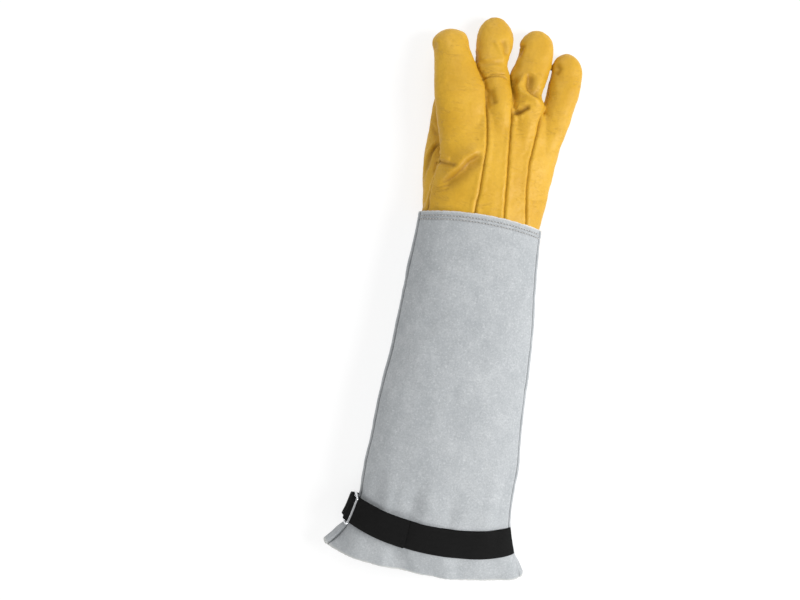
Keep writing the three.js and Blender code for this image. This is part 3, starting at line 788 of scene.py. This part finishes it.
def gauntlet_point(y, angle):
    """Points of the gauntlet at nominal y and angle round the section."""
    row = hermite(GAUNTLET, y)
    side = (1 + np.cos(angle)) / 2
    rise = np.sin(angle)
    curve = np.abs(rise) ** row["edge"]
    down = (row["side"] - row["low"]) * 1.22
    x = row["left"] + (row["right"] - row["left"]) * side
    real_y = y + row["dip"] * np.abs(rise) ** row["bend"] + row["skew"] * side
    z = np.where(rise > 0, row["side"] + (row["top"] - row["side"]) * curve,
                 row["side"] - down * curve)
    pucker = np.zeros_like(x)
    for i in range(len(PUCKERS["x"])):
        across = ((x - PUCKERS["x"][i]) / PUCKERS["width"][i]) ** 2
        length = ((real_y - PUCKERS["y"][i]) / PUCKERS["length"][i]) ** 2
        pucker += PUCKERS["height"][i] * np.exp(-across - length) * np.maximum(rise, 0)
    return np.stack([x, real_y, np.maximum(z, row["low"]) + pucker], axis=-1)


def gauntlet_surface(y, angle, out):
    """The same points, moved out along the surface's normal."""
    y, angle = np.broadcast_arrays(np.asarray(y, float), np.asarray(angle, float))
    step = 0.02
    turn = gauntlet_point(y, angle + step) - gauntlet_point(y, angle - step)
    length = gauntlet_point(y + 1, angle) - gauntlet_point(y - 1, angle)
    normal = np.cross(length, turn)
    normal /= np.linalg.norm(normal, axis=-1, keepdims=True)
    return gauntlet_point(y, angle) + normal * np.asarray(out)[..., None]


def sheet_faces(rows, columns, shift=0, flip=False):
    i, k = np.meshgrid(np.arange(rows - 1), np.arange(columns - 1), indexing="ij")
    a = (i * columns + k).ravel() + shift
    quads = np.stack([a, a + 1, a + columns + 1, a + columns], axis=1)
    return quads[:, ::-1] if flip else quads


def thick_sheet(name, outer, inner, material, shade=None, raw=None):
    """Closed sheet between two grids of points, joined round its rim; its edges are as round as the
    two grids make them.
    """
    rows, columns = outer.shape[:2]
    count = rows * columns
    vertices = np.vstack([outer.reshape(-1, 3), inner.reshape(-1, 3)])
    grid = np.arange(count).reshape(rows, columns)
    faces = [sheet_faces(rows, columns), sheet_faces(rows, columns, count, True)]
    rim = np.concatenate([grid[0, :-1], grid[:-1, -1], grid[-1, :0:-1], grid[:0:-1, 0]])
    following = np.roll(rim, -1)
    faces.append(np.stack([following, rim, rim + count, following + count], axis=1))
    obj = new_object(name, vertices, np.vstack(faces))
    mesh = obj.data
    for label, values in (("shade", shade), ("raw", raw)):
        if values is not None:
            add_values(mesh, label, np.concatenate([values.ravel(), values.ravel()]))
    mesh.materials.append(material)
    fix_normals(obj)
    return obj


def fix_normals(obj):
    work = bmesh.new()
    work.from_mesh(obj.data)
    bmesh.ops.recalc_face_normals(work, faces=work.faces)
    work.to_mesh(obj.data)
    work.free()


# Materials


class Nodes:
    """Small helper that builds a material's node tree."""

    def __init__(self, name):
        self.material = bpy.data.materials.new(name)
        self.material.use_nodes = True
        self.tree = self.material.node_tree
        self.shader = self.tree.nodes["Principled BSDF"]
        self.place = self.add("ShaderNodeTexCoord").outputs["Object"]

    def add(self, kind, **values):
        node = self.tree.nodes.new(kind)
        for key, value in values.items():
            setattr(node, key, value)
        return node

    def feed(self, socket, value):
        """Links another node's output to a socket, or gives it a constant."""
        if hasattr(value, "links"):
            self.tree.links.new(value, socket)
        else:
            socket.default_value = value

    def feed_all(self, node, values):
        for name, value in values.items():
            self.feed(node.inputs[name], value)

    def set(self, name, value):
        self.shader.inputs[name].default_value = value

    def noise(self, scale, detail=2.0, rough=0.5, place=None, distortion=0.0):
        node = self.add("ShaderNodeTexNoise")
        self.feed_all(node, {"Scale": scale, "Detail": detail, "Roughness": rough,
                             "Distortion": distortion, "Vector": place or self.place})
        return node.outputs["Fac"]

    def moved(self, operation, values):
        """Place shifted or squeezed, so that noise there differs or is drawn out into lines."""
        node = self.add("ShaderNodeVectorMath", operation=operation)
        self.feed(node.inputs[0], self.place)
        self.feed(node.inputs[1], values)
        return node.outputs[0]

    def cells(self, scale):
        node = self.add("ShaderNodeTexVoronoi", feature="DISTANCE_TO_EDGE")
        self.feed_all(node, {"Scale": scale, "Vector": self.place})
        return node.outputs["Distance"]

    def attribute(self, name):
        return self.add("ShaderNodeAttribute", attribute_name=name).outputs["Fac"]

    def math(self, operation, a, b=0.0, clamp=False):
        node = self.add("ShaderNodeMath", operation=operation, use_clamp=clamp)
        self.feed(node.inputs[0], a)
        self.feed(node.inputs[1], b)
        return node.outputs[0]

    def remap(self, value, low, high, to_low=0.0, to_high=1.0):
        node = self.add("ShaderNodeMapRange")
        self.feed_all(node, {"Value": value, "From Min": low, "From Max": high,
                             "To Min": to_low, "To Max": to_high})
        return node.outputs["Result"]

    def mix(self, factor, a, b):
        node = self.add("ShaderNodeMix", data_type="RGBA")
        self.feed(node.inputs["Factor"], factor)
        for socket, value in ((node.inputs[6], a), (node.inputs[7], b)):
            self.feed(socket, value if hasattr(value, "links") else (*value, 1.0))
        return node.outputs[2]

    def bump(self, height, distance, strength=1.0, below=None):
        node = self.add("ShaderNodeBump")
        self.feed_all(node, {"Strength": strength, "Distance": distance, "Height": height})
        if below is not None:
            self.feed(node.inputs["Normal"], below)
        return node.outputs["Normal"]

    def finish(self, colour, normal=None, roughness=None):
        for name, value in (("Base Color", colour), ("Normal", normal), ("Roughness", roughness)):
            if value is not None:
                self.feed(self.shader.inputs[name], value)
        return self.material


def yellow_leather():
    """Soft grain leather: pebbled grain, fine creases with painted shade in them, painted shade from
    the shade attribute, and a waxy sheen.
    """
    n = Nodes("yellow_grain_leather")
    broad = n.noise(24.0, 3.0, 0.55)
    colour = n.mix(n.remap(broad, 0.3, 0.7), (0.60, 0.325, 0.014), (0.70, 0.405, 0.028))
    fine = n.noise(360.0, 4.0, 0.62)
    colour = n.mix(n.remap(fine, 0.40, 0.75, 0.0, 0.24), colour, (0.44, 0.215, 0.008))
    shade = n.attribute("shade")
    colour = n.mix(n.math("MULTIPLY", shade, 0.8, clamp=True), colour, (0.26, 0.115, 0.004))
    grain = n.cells(1000.0)
    wrinkle = n.noise(240.0, 5.0, 0.62, distortion=0.8)
    lines = n.noise(230.0, 4.0, 0.6, place=n.moved("MULTIPLY", (0.3, 1.0, 0.6)), distortion=1.4)
    # Patches where the fine crease lines show; inside them the lines get painted shade
    crease_patch_mask = n.remap(n.noise(34.0, 2.0, 0.5, place=n.moved("ADD", (1.3, 1.3, 1.3))), 0.42, 0.62)
    crease = n.math("MULTIPLY", n.remap(lines, 0.46, 0.36), crease_patch_mask)
    # Painted shade: the fine crease lines are darkened as well as bumped
    colour = n.mix(n.math("MULTIPLY", crease, 0.2), colour, (0.34, 0.155, 0.006))
    normal = n.bump(n.remap(grain, 0.0, 0.28), 0.00015, 0.4)
    normal = n.bump(wrinkle, 0.0006, 0.40, normal)
    normal = n.bump(n.math("SUBTRACT", 1.0, crease), 0.0005, 0.5, normal)
    rough = n.remap(n.noise(90.0, 3.0, 0.6), 0.3, 0.7, 0.42, 0.56)
    n.set("Specular IOR Level", 0.42)
    return n.finish(colour, normal, rough)


def grey_suede():
    """Split suede: soft mottled nap with a fine speckle and no gloss."""
    n = Nodes("grey_split_suede")
    broad = n.noise(15.0, 4.0, 0.6)
    middle = n.noise(75.0, 4.0, 0.65, distortion=0.4)
    mottle = n.math("ADD", n.math("MULTIPLY", broad, 0.5), n.math("MULTIPLY", middle, 0.5))
    colour = n.mix(n.remap(mottle, 0.36, 0.64), (0.380, 0.401, 0.417), (0.488, 0.508, 0.522))
    speck = n.noise(620.0, 4.0, 0.75)
    colour = n.mix(n.remap(speck, 0.42, 0.70, 0.0, 0.62), colour, (0.290, 0.308, 0.322))
    light = n.noise(480.0, 3.0, 0.7, place=n.moved("ADD", (3.7, 3.7, 3.7)))
    colour = n.mix(n.remap(light, 0.52, 0.74, 0.0, 0.5), colour, (0.66, 0.68, 0.69))
    raw = n.math("MULTIPLY", n.attribute("raw"), 0.7, clamp=True)
    colour = n.mix(raw, colour, (0.80, 0.79, 0.73))
    shade = n.attribute("shade")
    colour = n.mix(n.math("MULTIPLY", shade, 0.85, clamp=True), colour, (0.105, 0.112, 0.118))
    nap = n.noise(1500.0, 4.0, 0.7)
    tufts = n.noise(330.0, 4.0, 0.65)
    normal = n.bump(nap, 0.0004, 0.6)
    normal = n.bump(tufts, 0.0008, 0.45, normal)
    n.set("Roughness", 0.95)
    n.set("Specular IOR Level", 0.08)
    n.set("Sheen Weight", 0.12)
    n.set("Sheen Roughness", 0.6)
    return n.finish(colour, normal)


def black_webbing():
    """Woven black webbing: a herringbone of fine threads between smooth selvedges."""
    n = Nodes("black_woven_webbing")
    uv = n.add("ShaderNodeUVMap", uv_map="weave").outputs["UV"]
    split = n.add("ShaderNodeSeparateXYZ")
    n.feed(split.inputs[0], uv)
    run, width = split.outputs[0], split.outputs[1]
    lean = n.math("PINGPONG", width, 3.25)
    slant = n.math("ADD", run, n.math("MULTIPLY", lean, 0.8))
    rib = n.math("SINE", n.math("MULTIPLY", slant, 2 * math.pi / 1.5))
    cross = n.math("SINE", n.math("MULTIPLY", width, 2 * math.pi / 1.1))
    weave = n.math("ADD", n.math("MULTIPLY", rib, 0.6), n.math("MULTIPLY", cross, 0.4))
    fuzz = n.noise(900.0, 3.0, 0.6)
    colour = n.mix(n.remap(weave, -1.0, 1.0), (0.003, 0.003, 0.003), (0.013, 0.013, 0.013))
    colour = n.mix(n.remap(fuzz, 0.5, 0.8, 0.0, 0.3), colour, (0.022, 0.022, 0.022))
    normal = n.bump(weave, 0.0004, 0.7)
    normal = n.bump(fuzz, 0.0002, 0.4, normal)
    n.set("Roughness", 0.8)
    n.set("Specular IOR Level", 0.10)
    return n.finish(colour, normal)


def slide_metal():
    """Bright plated wire with faint drawing marks."""
    n = Nodes("plated_wire")
    wear = n.noise(180.0, 4.0, 0.6)
    colour = n.mix(n.remap(wear, 0.35, 0.7), (0.78, 0.79, 0.81), (0.60, 0.61, 0.63))
    n.set("Metallic", 1.0)
    rough = n.remap(wear, 0.3, 0.7, 0.14, 0.30)
    normal = n.bump(n.noise(900.0, 2.0, 0.5), 0.00005, 0.3)
    return n.finish(colour, normal, rough)


def thread(name, colour, dark):
    """Twisted sewing thread."""
    n = Nodes(name)
    twist = n.noise(2600.0, 2.0, 0.5)
    mixed = n.mix(n.remap(twist, 0.35, 0.65), colour, dark)
    mixed = n.mix(n.math("MULTIPLY", n.attribute("shade"), 0.85), mixed, (0.05, 0.05, 0.05))
    n.set("Roughness", 0.7)
    return n.finish(mixed, n.bump(twist, 0.0002, 0.6))


def floor_material():
    """White light table, so that the shadow stays as faint as in the photo."""
    n = Nodes("pale_floor")
    colour = n.mix(n.noise(3.0, 2.0, 0.5), (0.30, 0.30, 0.30), (0.31, 0.31, 0.31))
    n.set("Roughness", 0.9)
    n.set("Specular IOR Level", 0.0)
    n.set("Emission Color", (1, 1, 1, 1))
    n.set("Emission Strength", 0.74)
    return n.finish(colour)


LEATHER_FINISH = yellow_leather()
SUEDE_FINISH = grey_suede()
WEBBING_FINISH = black_webbing()
METAL_FINISH = slide_metal()
CREAM_THREAD = thread("cream_thread", (0.66, 0.65, 0.62), (0.36, 0.35, 0.35))
YELLOW_THREAD = thread("yellow_thread", (0.78, 0.62, 0.22), (0.50, 0.36, 0.08))


# Camera, floor and light


def to_camera():
    data = bpy.data.cameras.new("photo_camera")
    width = PHOTO_WIDTH * MM_PER_PIXEL_ON_FLOOR
    data.sensor_width = SENSOR
    data.lens = SENSOR * CAMERA_HEIGHT / width
    data.clip_end = 20
    camera = placed("photo_camera", data)
    camera.location = to_frame((*VIEW_CENTRE, CAMERA_HEIGHT))
    camera.rotation_euler = (0, 0, VIEW_TURN)
    bpy.context.scene.camera = camera


def lay_floor():
    size = 4000.0
    corners = [(-size, -size, 0), (size, -size, 0), (size, size, 0), (-size, size, 0)]
    floor = new_object("floor", np.array(corners, float), [(0, 1, 2, 3)], smooth=False)
    floor.data.materials.append(floor_material())


def area_light(name, place, aim, size, power):
    data = bpy.data.lights.new(name, "AREA")
    data.shape = "DISK"
    data.size = size
    data.energy = power
    lamp = placed(name, data)
    lamp.location = place
    direction = Vector(aim) - Vector(place)
    lamp.rotation_euler = direction.to_track_quat("-Z", "Y").to_euler()


def light_scene():
    world = bpy.data.worlds.new("studio")
    world.use_nodes = True
    background = world.node_tree.nodes["Background"]
    background.inputs[0].default_value = (1, 1, 1, 1)
    background.inputs[1].default_value = 0.42
    bpy.context.scene.world = world
    area_light("key", (1.42, 0.1, 1.16), (0, 0, 0), 1.1, 31)
    area_light("hem_fill", (-0.6, -1.5, 0.8), (0, -0.2, 0), 0.9, 10)
    area_light("tip_fill", (-0.2, 1.5, 0.9), (0, 0.25, 0), 0.9, 7)


bpy.context.scene.view_settings.view_transform = "Standard"
to_camera()
lay_floor()
light_scene()


# Hand

skin = hand_skin()
panel, shade = shape_hand(skin)
in_glove = skin.centres()[:, 1] > -HAND_TUCK + 0.4
for number, name in enumerate(PANELS):
    chosen = skin.faces[(panel == number) & in_glove]
    declare(panel_object(skin, chosen, name + "_leather", shade), name)


# Gauntlet

SIDE_SEAMS = {"right": math.radians(14), "left": math.radians(166)}


def even_angles(y, start, end, count):
    """Angles that split each row of the gauntlet into equal lengths."""
    fine = np.linspace(start, end, 500)
    run = run_along(gauntlet_point(y[:, None], fine[None, :]))
    share = np.linspace(0, 1, count)
    angles = np.array([np.interp(share * row[-1], row, fine) for row in run])
    return angles, share[None, :] * run[:, -1:], run[:, -1:]


CUFF_ROWS = (-5.0, -8.6)


def gauntlet_panel(name, start, end, columns):
    y = np.concatenate([np.linspace(0, -14, 32), np.linspace(-15, HEM + 3, 168),
                        np.linspace(HEM + 2.4, HEM, 6)])
    angles, run, whole = even_angles(y, start, end, columns)
    level = y[:, None] + np.zeros_like(angles)
    flat = gauntlet_surface(level, angles, 0.0).reshape(-1, 3)
    soft = (1.5 * noise_field(flat, 70.0, 11) + 0.55 * noise_field(flat, 20.0, 12, 3)
            + 0.14 * noise_field(flat, 5.0, 13)).reshape(level.shape)
    ragged = noise_field(flat, 3.0, 15, 3).reshape(level.shape)
    upper = np.sin(angles) > 0
    free = smoothstep(0, -30, level) * np.where(np.sin(angles) > -0.35, 1, 0.15)
    edge = np.minimum(run, whole - run)
    under_strap = np.exp(-((level + 318) / 15) ** 4)
    out = soft * free * (1 - 0.8 * under_strap)
    plain_hem = 1 - 0.9 * smoothstep(-320, -338, level)
    out += (0.5 * np.exp(-((edge - 3.6) / 2.4) ** 2) - 1.2 * np.exp(-(edge / 1.0) ** 2)) * plain_hem
    hem = smoothstep(-305, HEM, level)
    out += hem * (1.5 * np.sin(run / 13.0 + 1.2) + 0.7 * np.sin(run / 5.6)) * upper
    shade = 1.3 * np.exp(-(edge / 0.9) ** 2) * plain_hem
    for row in CUFF_ROWS:
        furrow = np.exp(-((level - row) / 0.8) ** 2)
        out -= 0.32 * furrow
        shade += 0.16 * furrow
    out += 0.22 * ragged * np.exp(-((level + 6.8) / 5.0) ** 2)
    outer = gauntlet_surface(level, angles, out)
    inner = gauntlet_surface(level, angles, out - SUEDE)
    for side in (0, -1):
        outer[side, :, 1] += 0.5 * ragged[side]
        inner[side, :, 1] += 0.5 * ragged[side]
    outer[..., 2] = np.maximum(outer[..., 2], 0)
    inner[..., 2] = np.maximum(inner[..., 2], SUEDE)
    raw = np.exp(-(level / 0.9) ** 2) + 0.7 * np.exp(-((level - HEM) / 1.2) ** 2)
    piece = thick_sheet(name + "_suede", outer, inner, SUEDE_FINISH, np.clip(shade, 0, 1), raw)
    declare(piece, name)


SEAM_GAP = math.radians(0.1)
gauntlet_panel("gauntlet_back", SIDE_SEAMS["right"] + SEAM_GAP, SIDE_SEAMS["left"] - SEAM_GAP, 120)
gauntlet_panel("gauntlet_palm", SIDE_SEAMS["left"] + SEAM_GAP,
               SIDE_SEAMS["right"] + 2 * math.pi - SEAM_GAP, 130)


def stitches(name, path, material, pitch=3.2, length=2.4, radius=0.4):
    """Row of stitches along a path of millimetre points, each a small rounded thread."""
    run = run_along(path)
    t = np.linspace(0, 1, 5)[:, None]
    thick = radius * np.sqrt(np.maximum(1 - (2 * t - 1) ** 4, 0.2))
    angle = np.linspace(0, 2 * np.pi, 6, endpoint=False)[::-1, None]
    parts = []
    for place in np.arange(pitch / 2, run[-1] - length / 2, pitch):
        start, end = [np.array([np.interp(where, run, path[:, k]) for k in range(3)])
                      for where in (place - length / 2, place + length / 2)]
        axis = (end - start) / np.linalg.norm(end - start)
        across = np.cross(axis, (0, 0, 1))
        across /= np.linalg.norm(across)
        up = np.cross(across, axis)
        centre = start * (1 - t) + end * t + up * radius * (np.sin(np.pi * t) - 0.3)
        ring = np.cos(angle) * across + np.sin(angle) * up
        parts.append(tube(centre[:, None] + thick[:, None] * ring))
    piece = new_object(name, *joined(parts))
    add_values(piece.data, "shade", np.tile(np.repeat([1, 0, 0, 0, 1], len(angle)), len(parts)))
    piece.data.materials.append(material)
    declare(piece)


def gauntlet_path(y, start, end, out, count=160):
    angle = np.radians(np.linspace(start, end, count))
    return gauntlet_surface(y, angle, out)


for i, y in enumerate(CUFF_ROWS):
    stitches("cuff_stitches_%d" % (i + 1), gauntlet_path(y, 16, 164, 0.15),
             CREAM_THREAD, 3.3, 2.5, 0.5)


# Wrist patch

PATCH_ROWS = table("""
y from to
0.4 223 342
-8 226 342
-17 231 341
-25 237 339
-32 244 335
-37 253 326
-39.6 264 312
""")


def wrist_patch():
    fine = smooth_rows(PATCH_ROWS, 6)
    columns = 120
    share = np.linspace(0, 1, columns)[None, :]
    angles = np.radians(fine["from"][:, None] + (fine["to"] - fine["from"])[:, None] * share)
    level = fine["y"][:, None] + np.zeros_like(angles)
    run = run_along(gauntlet_surface(level, angles, 0.0))
    edge = np.minimum(run, run[:, -1:] - run)
    edge = np.minimum(edge, np.abs(level + 39.6))
    thick = PATCH * (1 - 0.6 * np.exp(-(edge / 0.7) ** 2))
    outer = gauntlet_surface(level, angles, SADDLE + thick)
    outer[..., 2] = np.maximum(outer[..., 2], 0)
    inner = gauntlet_surface(level, angles, 0.25)
    shade = 0.5 * np.exp(-((edge - 3.0) / 0.8) ** 2)
    piece = thick_sheet("wrist_patch_leather", outer, inner, LEATHER_FINISH, shade)
    declare(piece, "wrist_patch")


wrist_patch()


def patch_path(inset_degrees, above):
    """Line inside the patch's round edge, from one upper corner to the other."""
    fine = smooth_rows(PATCH_ROWS, 6)
    down = [(y + above, a + inset_degrees) for y, a in zip(fine["y"], fine["from"])]
    last, first = down[-1][1], fine["to"][-1] - inset_degrees
    across = [(fine["y"][-1] + above, a) for a in np.linspace(last, first, 12)[1:-1]]
    up = [(y + above, a - inset_degrees) for y, a in zip(fine["y"], fine["to"])][::-1]
    path = np.array([point for point in down + across + up if point[0] < -1.5])
    return gauntlet_surface(path[:, 0], np.radians(path[:, 1]), SADDLE + PATCH + 0.05)


for i, (inset_degrees, above) in enumerate(((2.2, 2.2), (3.8, 4.0))):
    stitches("patch_stitches_%d" % (i + 1), patch_path(inset_degrees, above),
             YELLOW_THREAD)


def draped(path):
    """Path in plan laid on the palm side of the hand."""
    normals = skin.normals()
    facing = np.nonzero(normals[:, 2] < -0.3)[0]
    tree = kdtree.KDTree(len(facing))
    for i in facing:
        tree.insert(Vector((skin.points[i, 0], skin.points[i, 1], 0)), int(i))
    tree.balance()
    found = [tree.find(Vector((x, y, 0)))[1] for x, y in path]
    points = np.array([(x, y, skin.points[i, 2]) for (x, y), i in zip(path, found)])
    for _ in range(6):
        points[1:-1, 2] += 0.5 * ((points[:-2, 2] + points[2:, 2]) / 2 - points[1:-1, 2])
    return points + 0.15 * normals[found]


def gusset_line(label, beyond):
    """A thumb seam on the palm, moved away from the gusset."""
    y = np.linspace(7, 74, 60)
    return np.stack([np.interp(y, THUMB_WEDGE["y"], THUMB_WEDGE[label]) + beyond, y], axis=1)


for label, beyond in (("left", -2.4), ("right", 2.4)):
    stitches("gusset_stitches_" + label, draped(gusset_line(label, beyond)),
             YELLOW_THREAD)


# Strap, anchor and slide

# First degree, degrees in all and columns of each panel in the CAD
PANEL_SPANS = {"back": (14.15, 151.7, 26), "palm": (166.15, 207.7, 20)}
STRAP_BAND = (-331.0, -305.0)
STRAP_WIDTH = 26.0
BARS = {"open": 158.5, "strap": 168.0, "anchor": 184.0}
TURN = {"height": 6.6, "start": 1.2, "reach": 5.8, "settling": (3.4, 1.6, 0.5)}
SLIDE = {"overhang": 2.2, "open_bar_out": 8.7, "sides": 16}
UNDER = SADDLE + WEBBING / 2
OVER = SADDLE + 0.6 + 1.5 * WEBBING


def column_degrees(panel_name, column):
    start, span, columns = PANEL_SPANS[panel_name]
    return start + span * column / columns


def turned_path(lower, bar, facing, upper):
    """Stations of webbing that goes round a bar and comes back, as (degrees, distance out)."""
    start = bar + TURN["start"] * facing
    path = [(degrees, UNDER) for degrees in lower]
    path += [(start, UNDER), (bar + TURN["reach"] * facing, UNDER + TURN["height"] / 2),
             (start, UNDER + TURN["height"])]
    settling = [*TURN["settling"], *[0] * len(upper)]
    path += [(degrees, OVER + settling[i]) for i, degrees in enumerate(upper)]
    return np.array(path)


def ribbon(name, path, node, per_step=6, columns=18):
    """Webbing along a path round the gauntlet, with rounded selvedges."""
    fine = smooth_rows({"degrees": path[:, 0], "out": path[:, 1]}, per_step)
    share = np.linspace(0, 1, columns)
    level = STRAP_BAND[0] + (STRAP_BAND[1] - STRAP_BAND[0]) * share[None, :]
    middle = gauntlet_surface(level, np.radians(fine["degrees"])[:, None], fine["out"][:, None])
    normal = np.cross(np.gradient(middle, axis=1), np.gradient(middle, axis=0))
    normal /= np.linalg.norm(normal, axis=2, keepdims=True)
    half = WEBBING / 2 * np.sqrt(np.clip(1 - (2 * share - 1) ** 8, 0.10, 1))[None, :, None]
    piece = thick_sheet(name, middle + normal * half, middle - normal * half, WEBBING_FINISH)
    run = run_along(middle[:, columns // 2])
    u = np.tile(np.repeat(run, columns), 2)
    v = np.tile(share * STRAP_WIDTH, 2 * len(run))
    layer = piece.data.uv_layers.new(name="weave")
    corner = np.empty(len(piece.data.loops), int)
    piece.data.loops.foreach_get("vertex_index", corner)
    layer.data.foreach_set("uv", np.stack([u[corner], v[corner]], axis=1).ravel())
    declare(piece, node)


back_columns = [column_degrees("back", c) for c in range(27)]
strap_path = turned_path(back_columns, BARS["strap"], 1, back_columns[16:][::-1])
ribbon("strap_webbing", strap_path, "strap")
anchor_lower = [column_degrees("palm", c) for c in np.linspace(6, 2, 9)]
anchor_upper = [column_degrees("palm", c) for c in np.linspace(2, 5, 6)]
anchor_path = turned_path(anchor_lower, BARS["anchor"], -1, anchor_upper)
ribbon("anchor_webbing", anchor_path, "strap_anchor")


def wire(curve, closed):
    """Rings of round wire along a curve."""
    if closed:
        tangent = np.roll(curve, -1, axis=0) - np.roll(curve, 1, axis=0)
    else:
        tangent = np.gradient(curve, axis=0)
    tangent /= np.linalg.norm(tangent, axis=1, keepdims=True)
    plane = np.cross(tangent, (0.0, 0.0, 1.0))
    plane /= np.linalg.norm(plane, axis=1, keepdims=True)
    other = np.cross(plane, tangent)
    angle = np.linspace(0, 2 * np.pi, SLIDE["sides"], endpoint=False)[None, :, None]
    ring = np.cos(angle) * plane[:, None] + np.sin(angle) * other[:, None]
    return curve[:, None] + WIRE / 2 * ring


def wire_slide():
    """Rectangular wire loop with a bar across it; its open bar lies over the strap."""
    low, high = STRAP_BAND[0] - SLIDE["overhang"], STRAP_BAND[1] + SLIDE["overhang"]

    def place(share, bar):
        away = SLIDE["open_bar_out"] if bar == "open" else UNDER + TURN["height"] / 2
        return gauntlet_surface(low + (high - low) * share, math.radians(BARS[bar]), away)

    corners = [place(share, "open") for share in (0.05, 0.3, 0.7, 0.95)]
    corners += [place(1.0, "strap")]
    corners += [place(share, "anchor") for share in (0.95, 0.7, 0.3, 0.05)]
    corners = np.array(corners + [place(0.0, "strap")])
    around = np.vstack([corners[-1:], corners, corners[:2]])
    t = (np.arange(16) / 16)[:, None]
    loop = np.vstack([catmull(*around[i:i + 4], t) for i in range(len(corners))])
    share = np.linspace(0, 1, 12)[:, None]
    bar = place(0.0, "strap") * (1 - share) + place(1.0, "strap") * share
    parts = [tube(wire(loop, True), True), tube(wire(bar, False))]
    piece = new_object("slide_wire", *joined(parts))
    piece.data.materials.append(METAL_FINISH)
    fix_normals(piece)
    declare(piece, "strap_slide")


wire_slide()
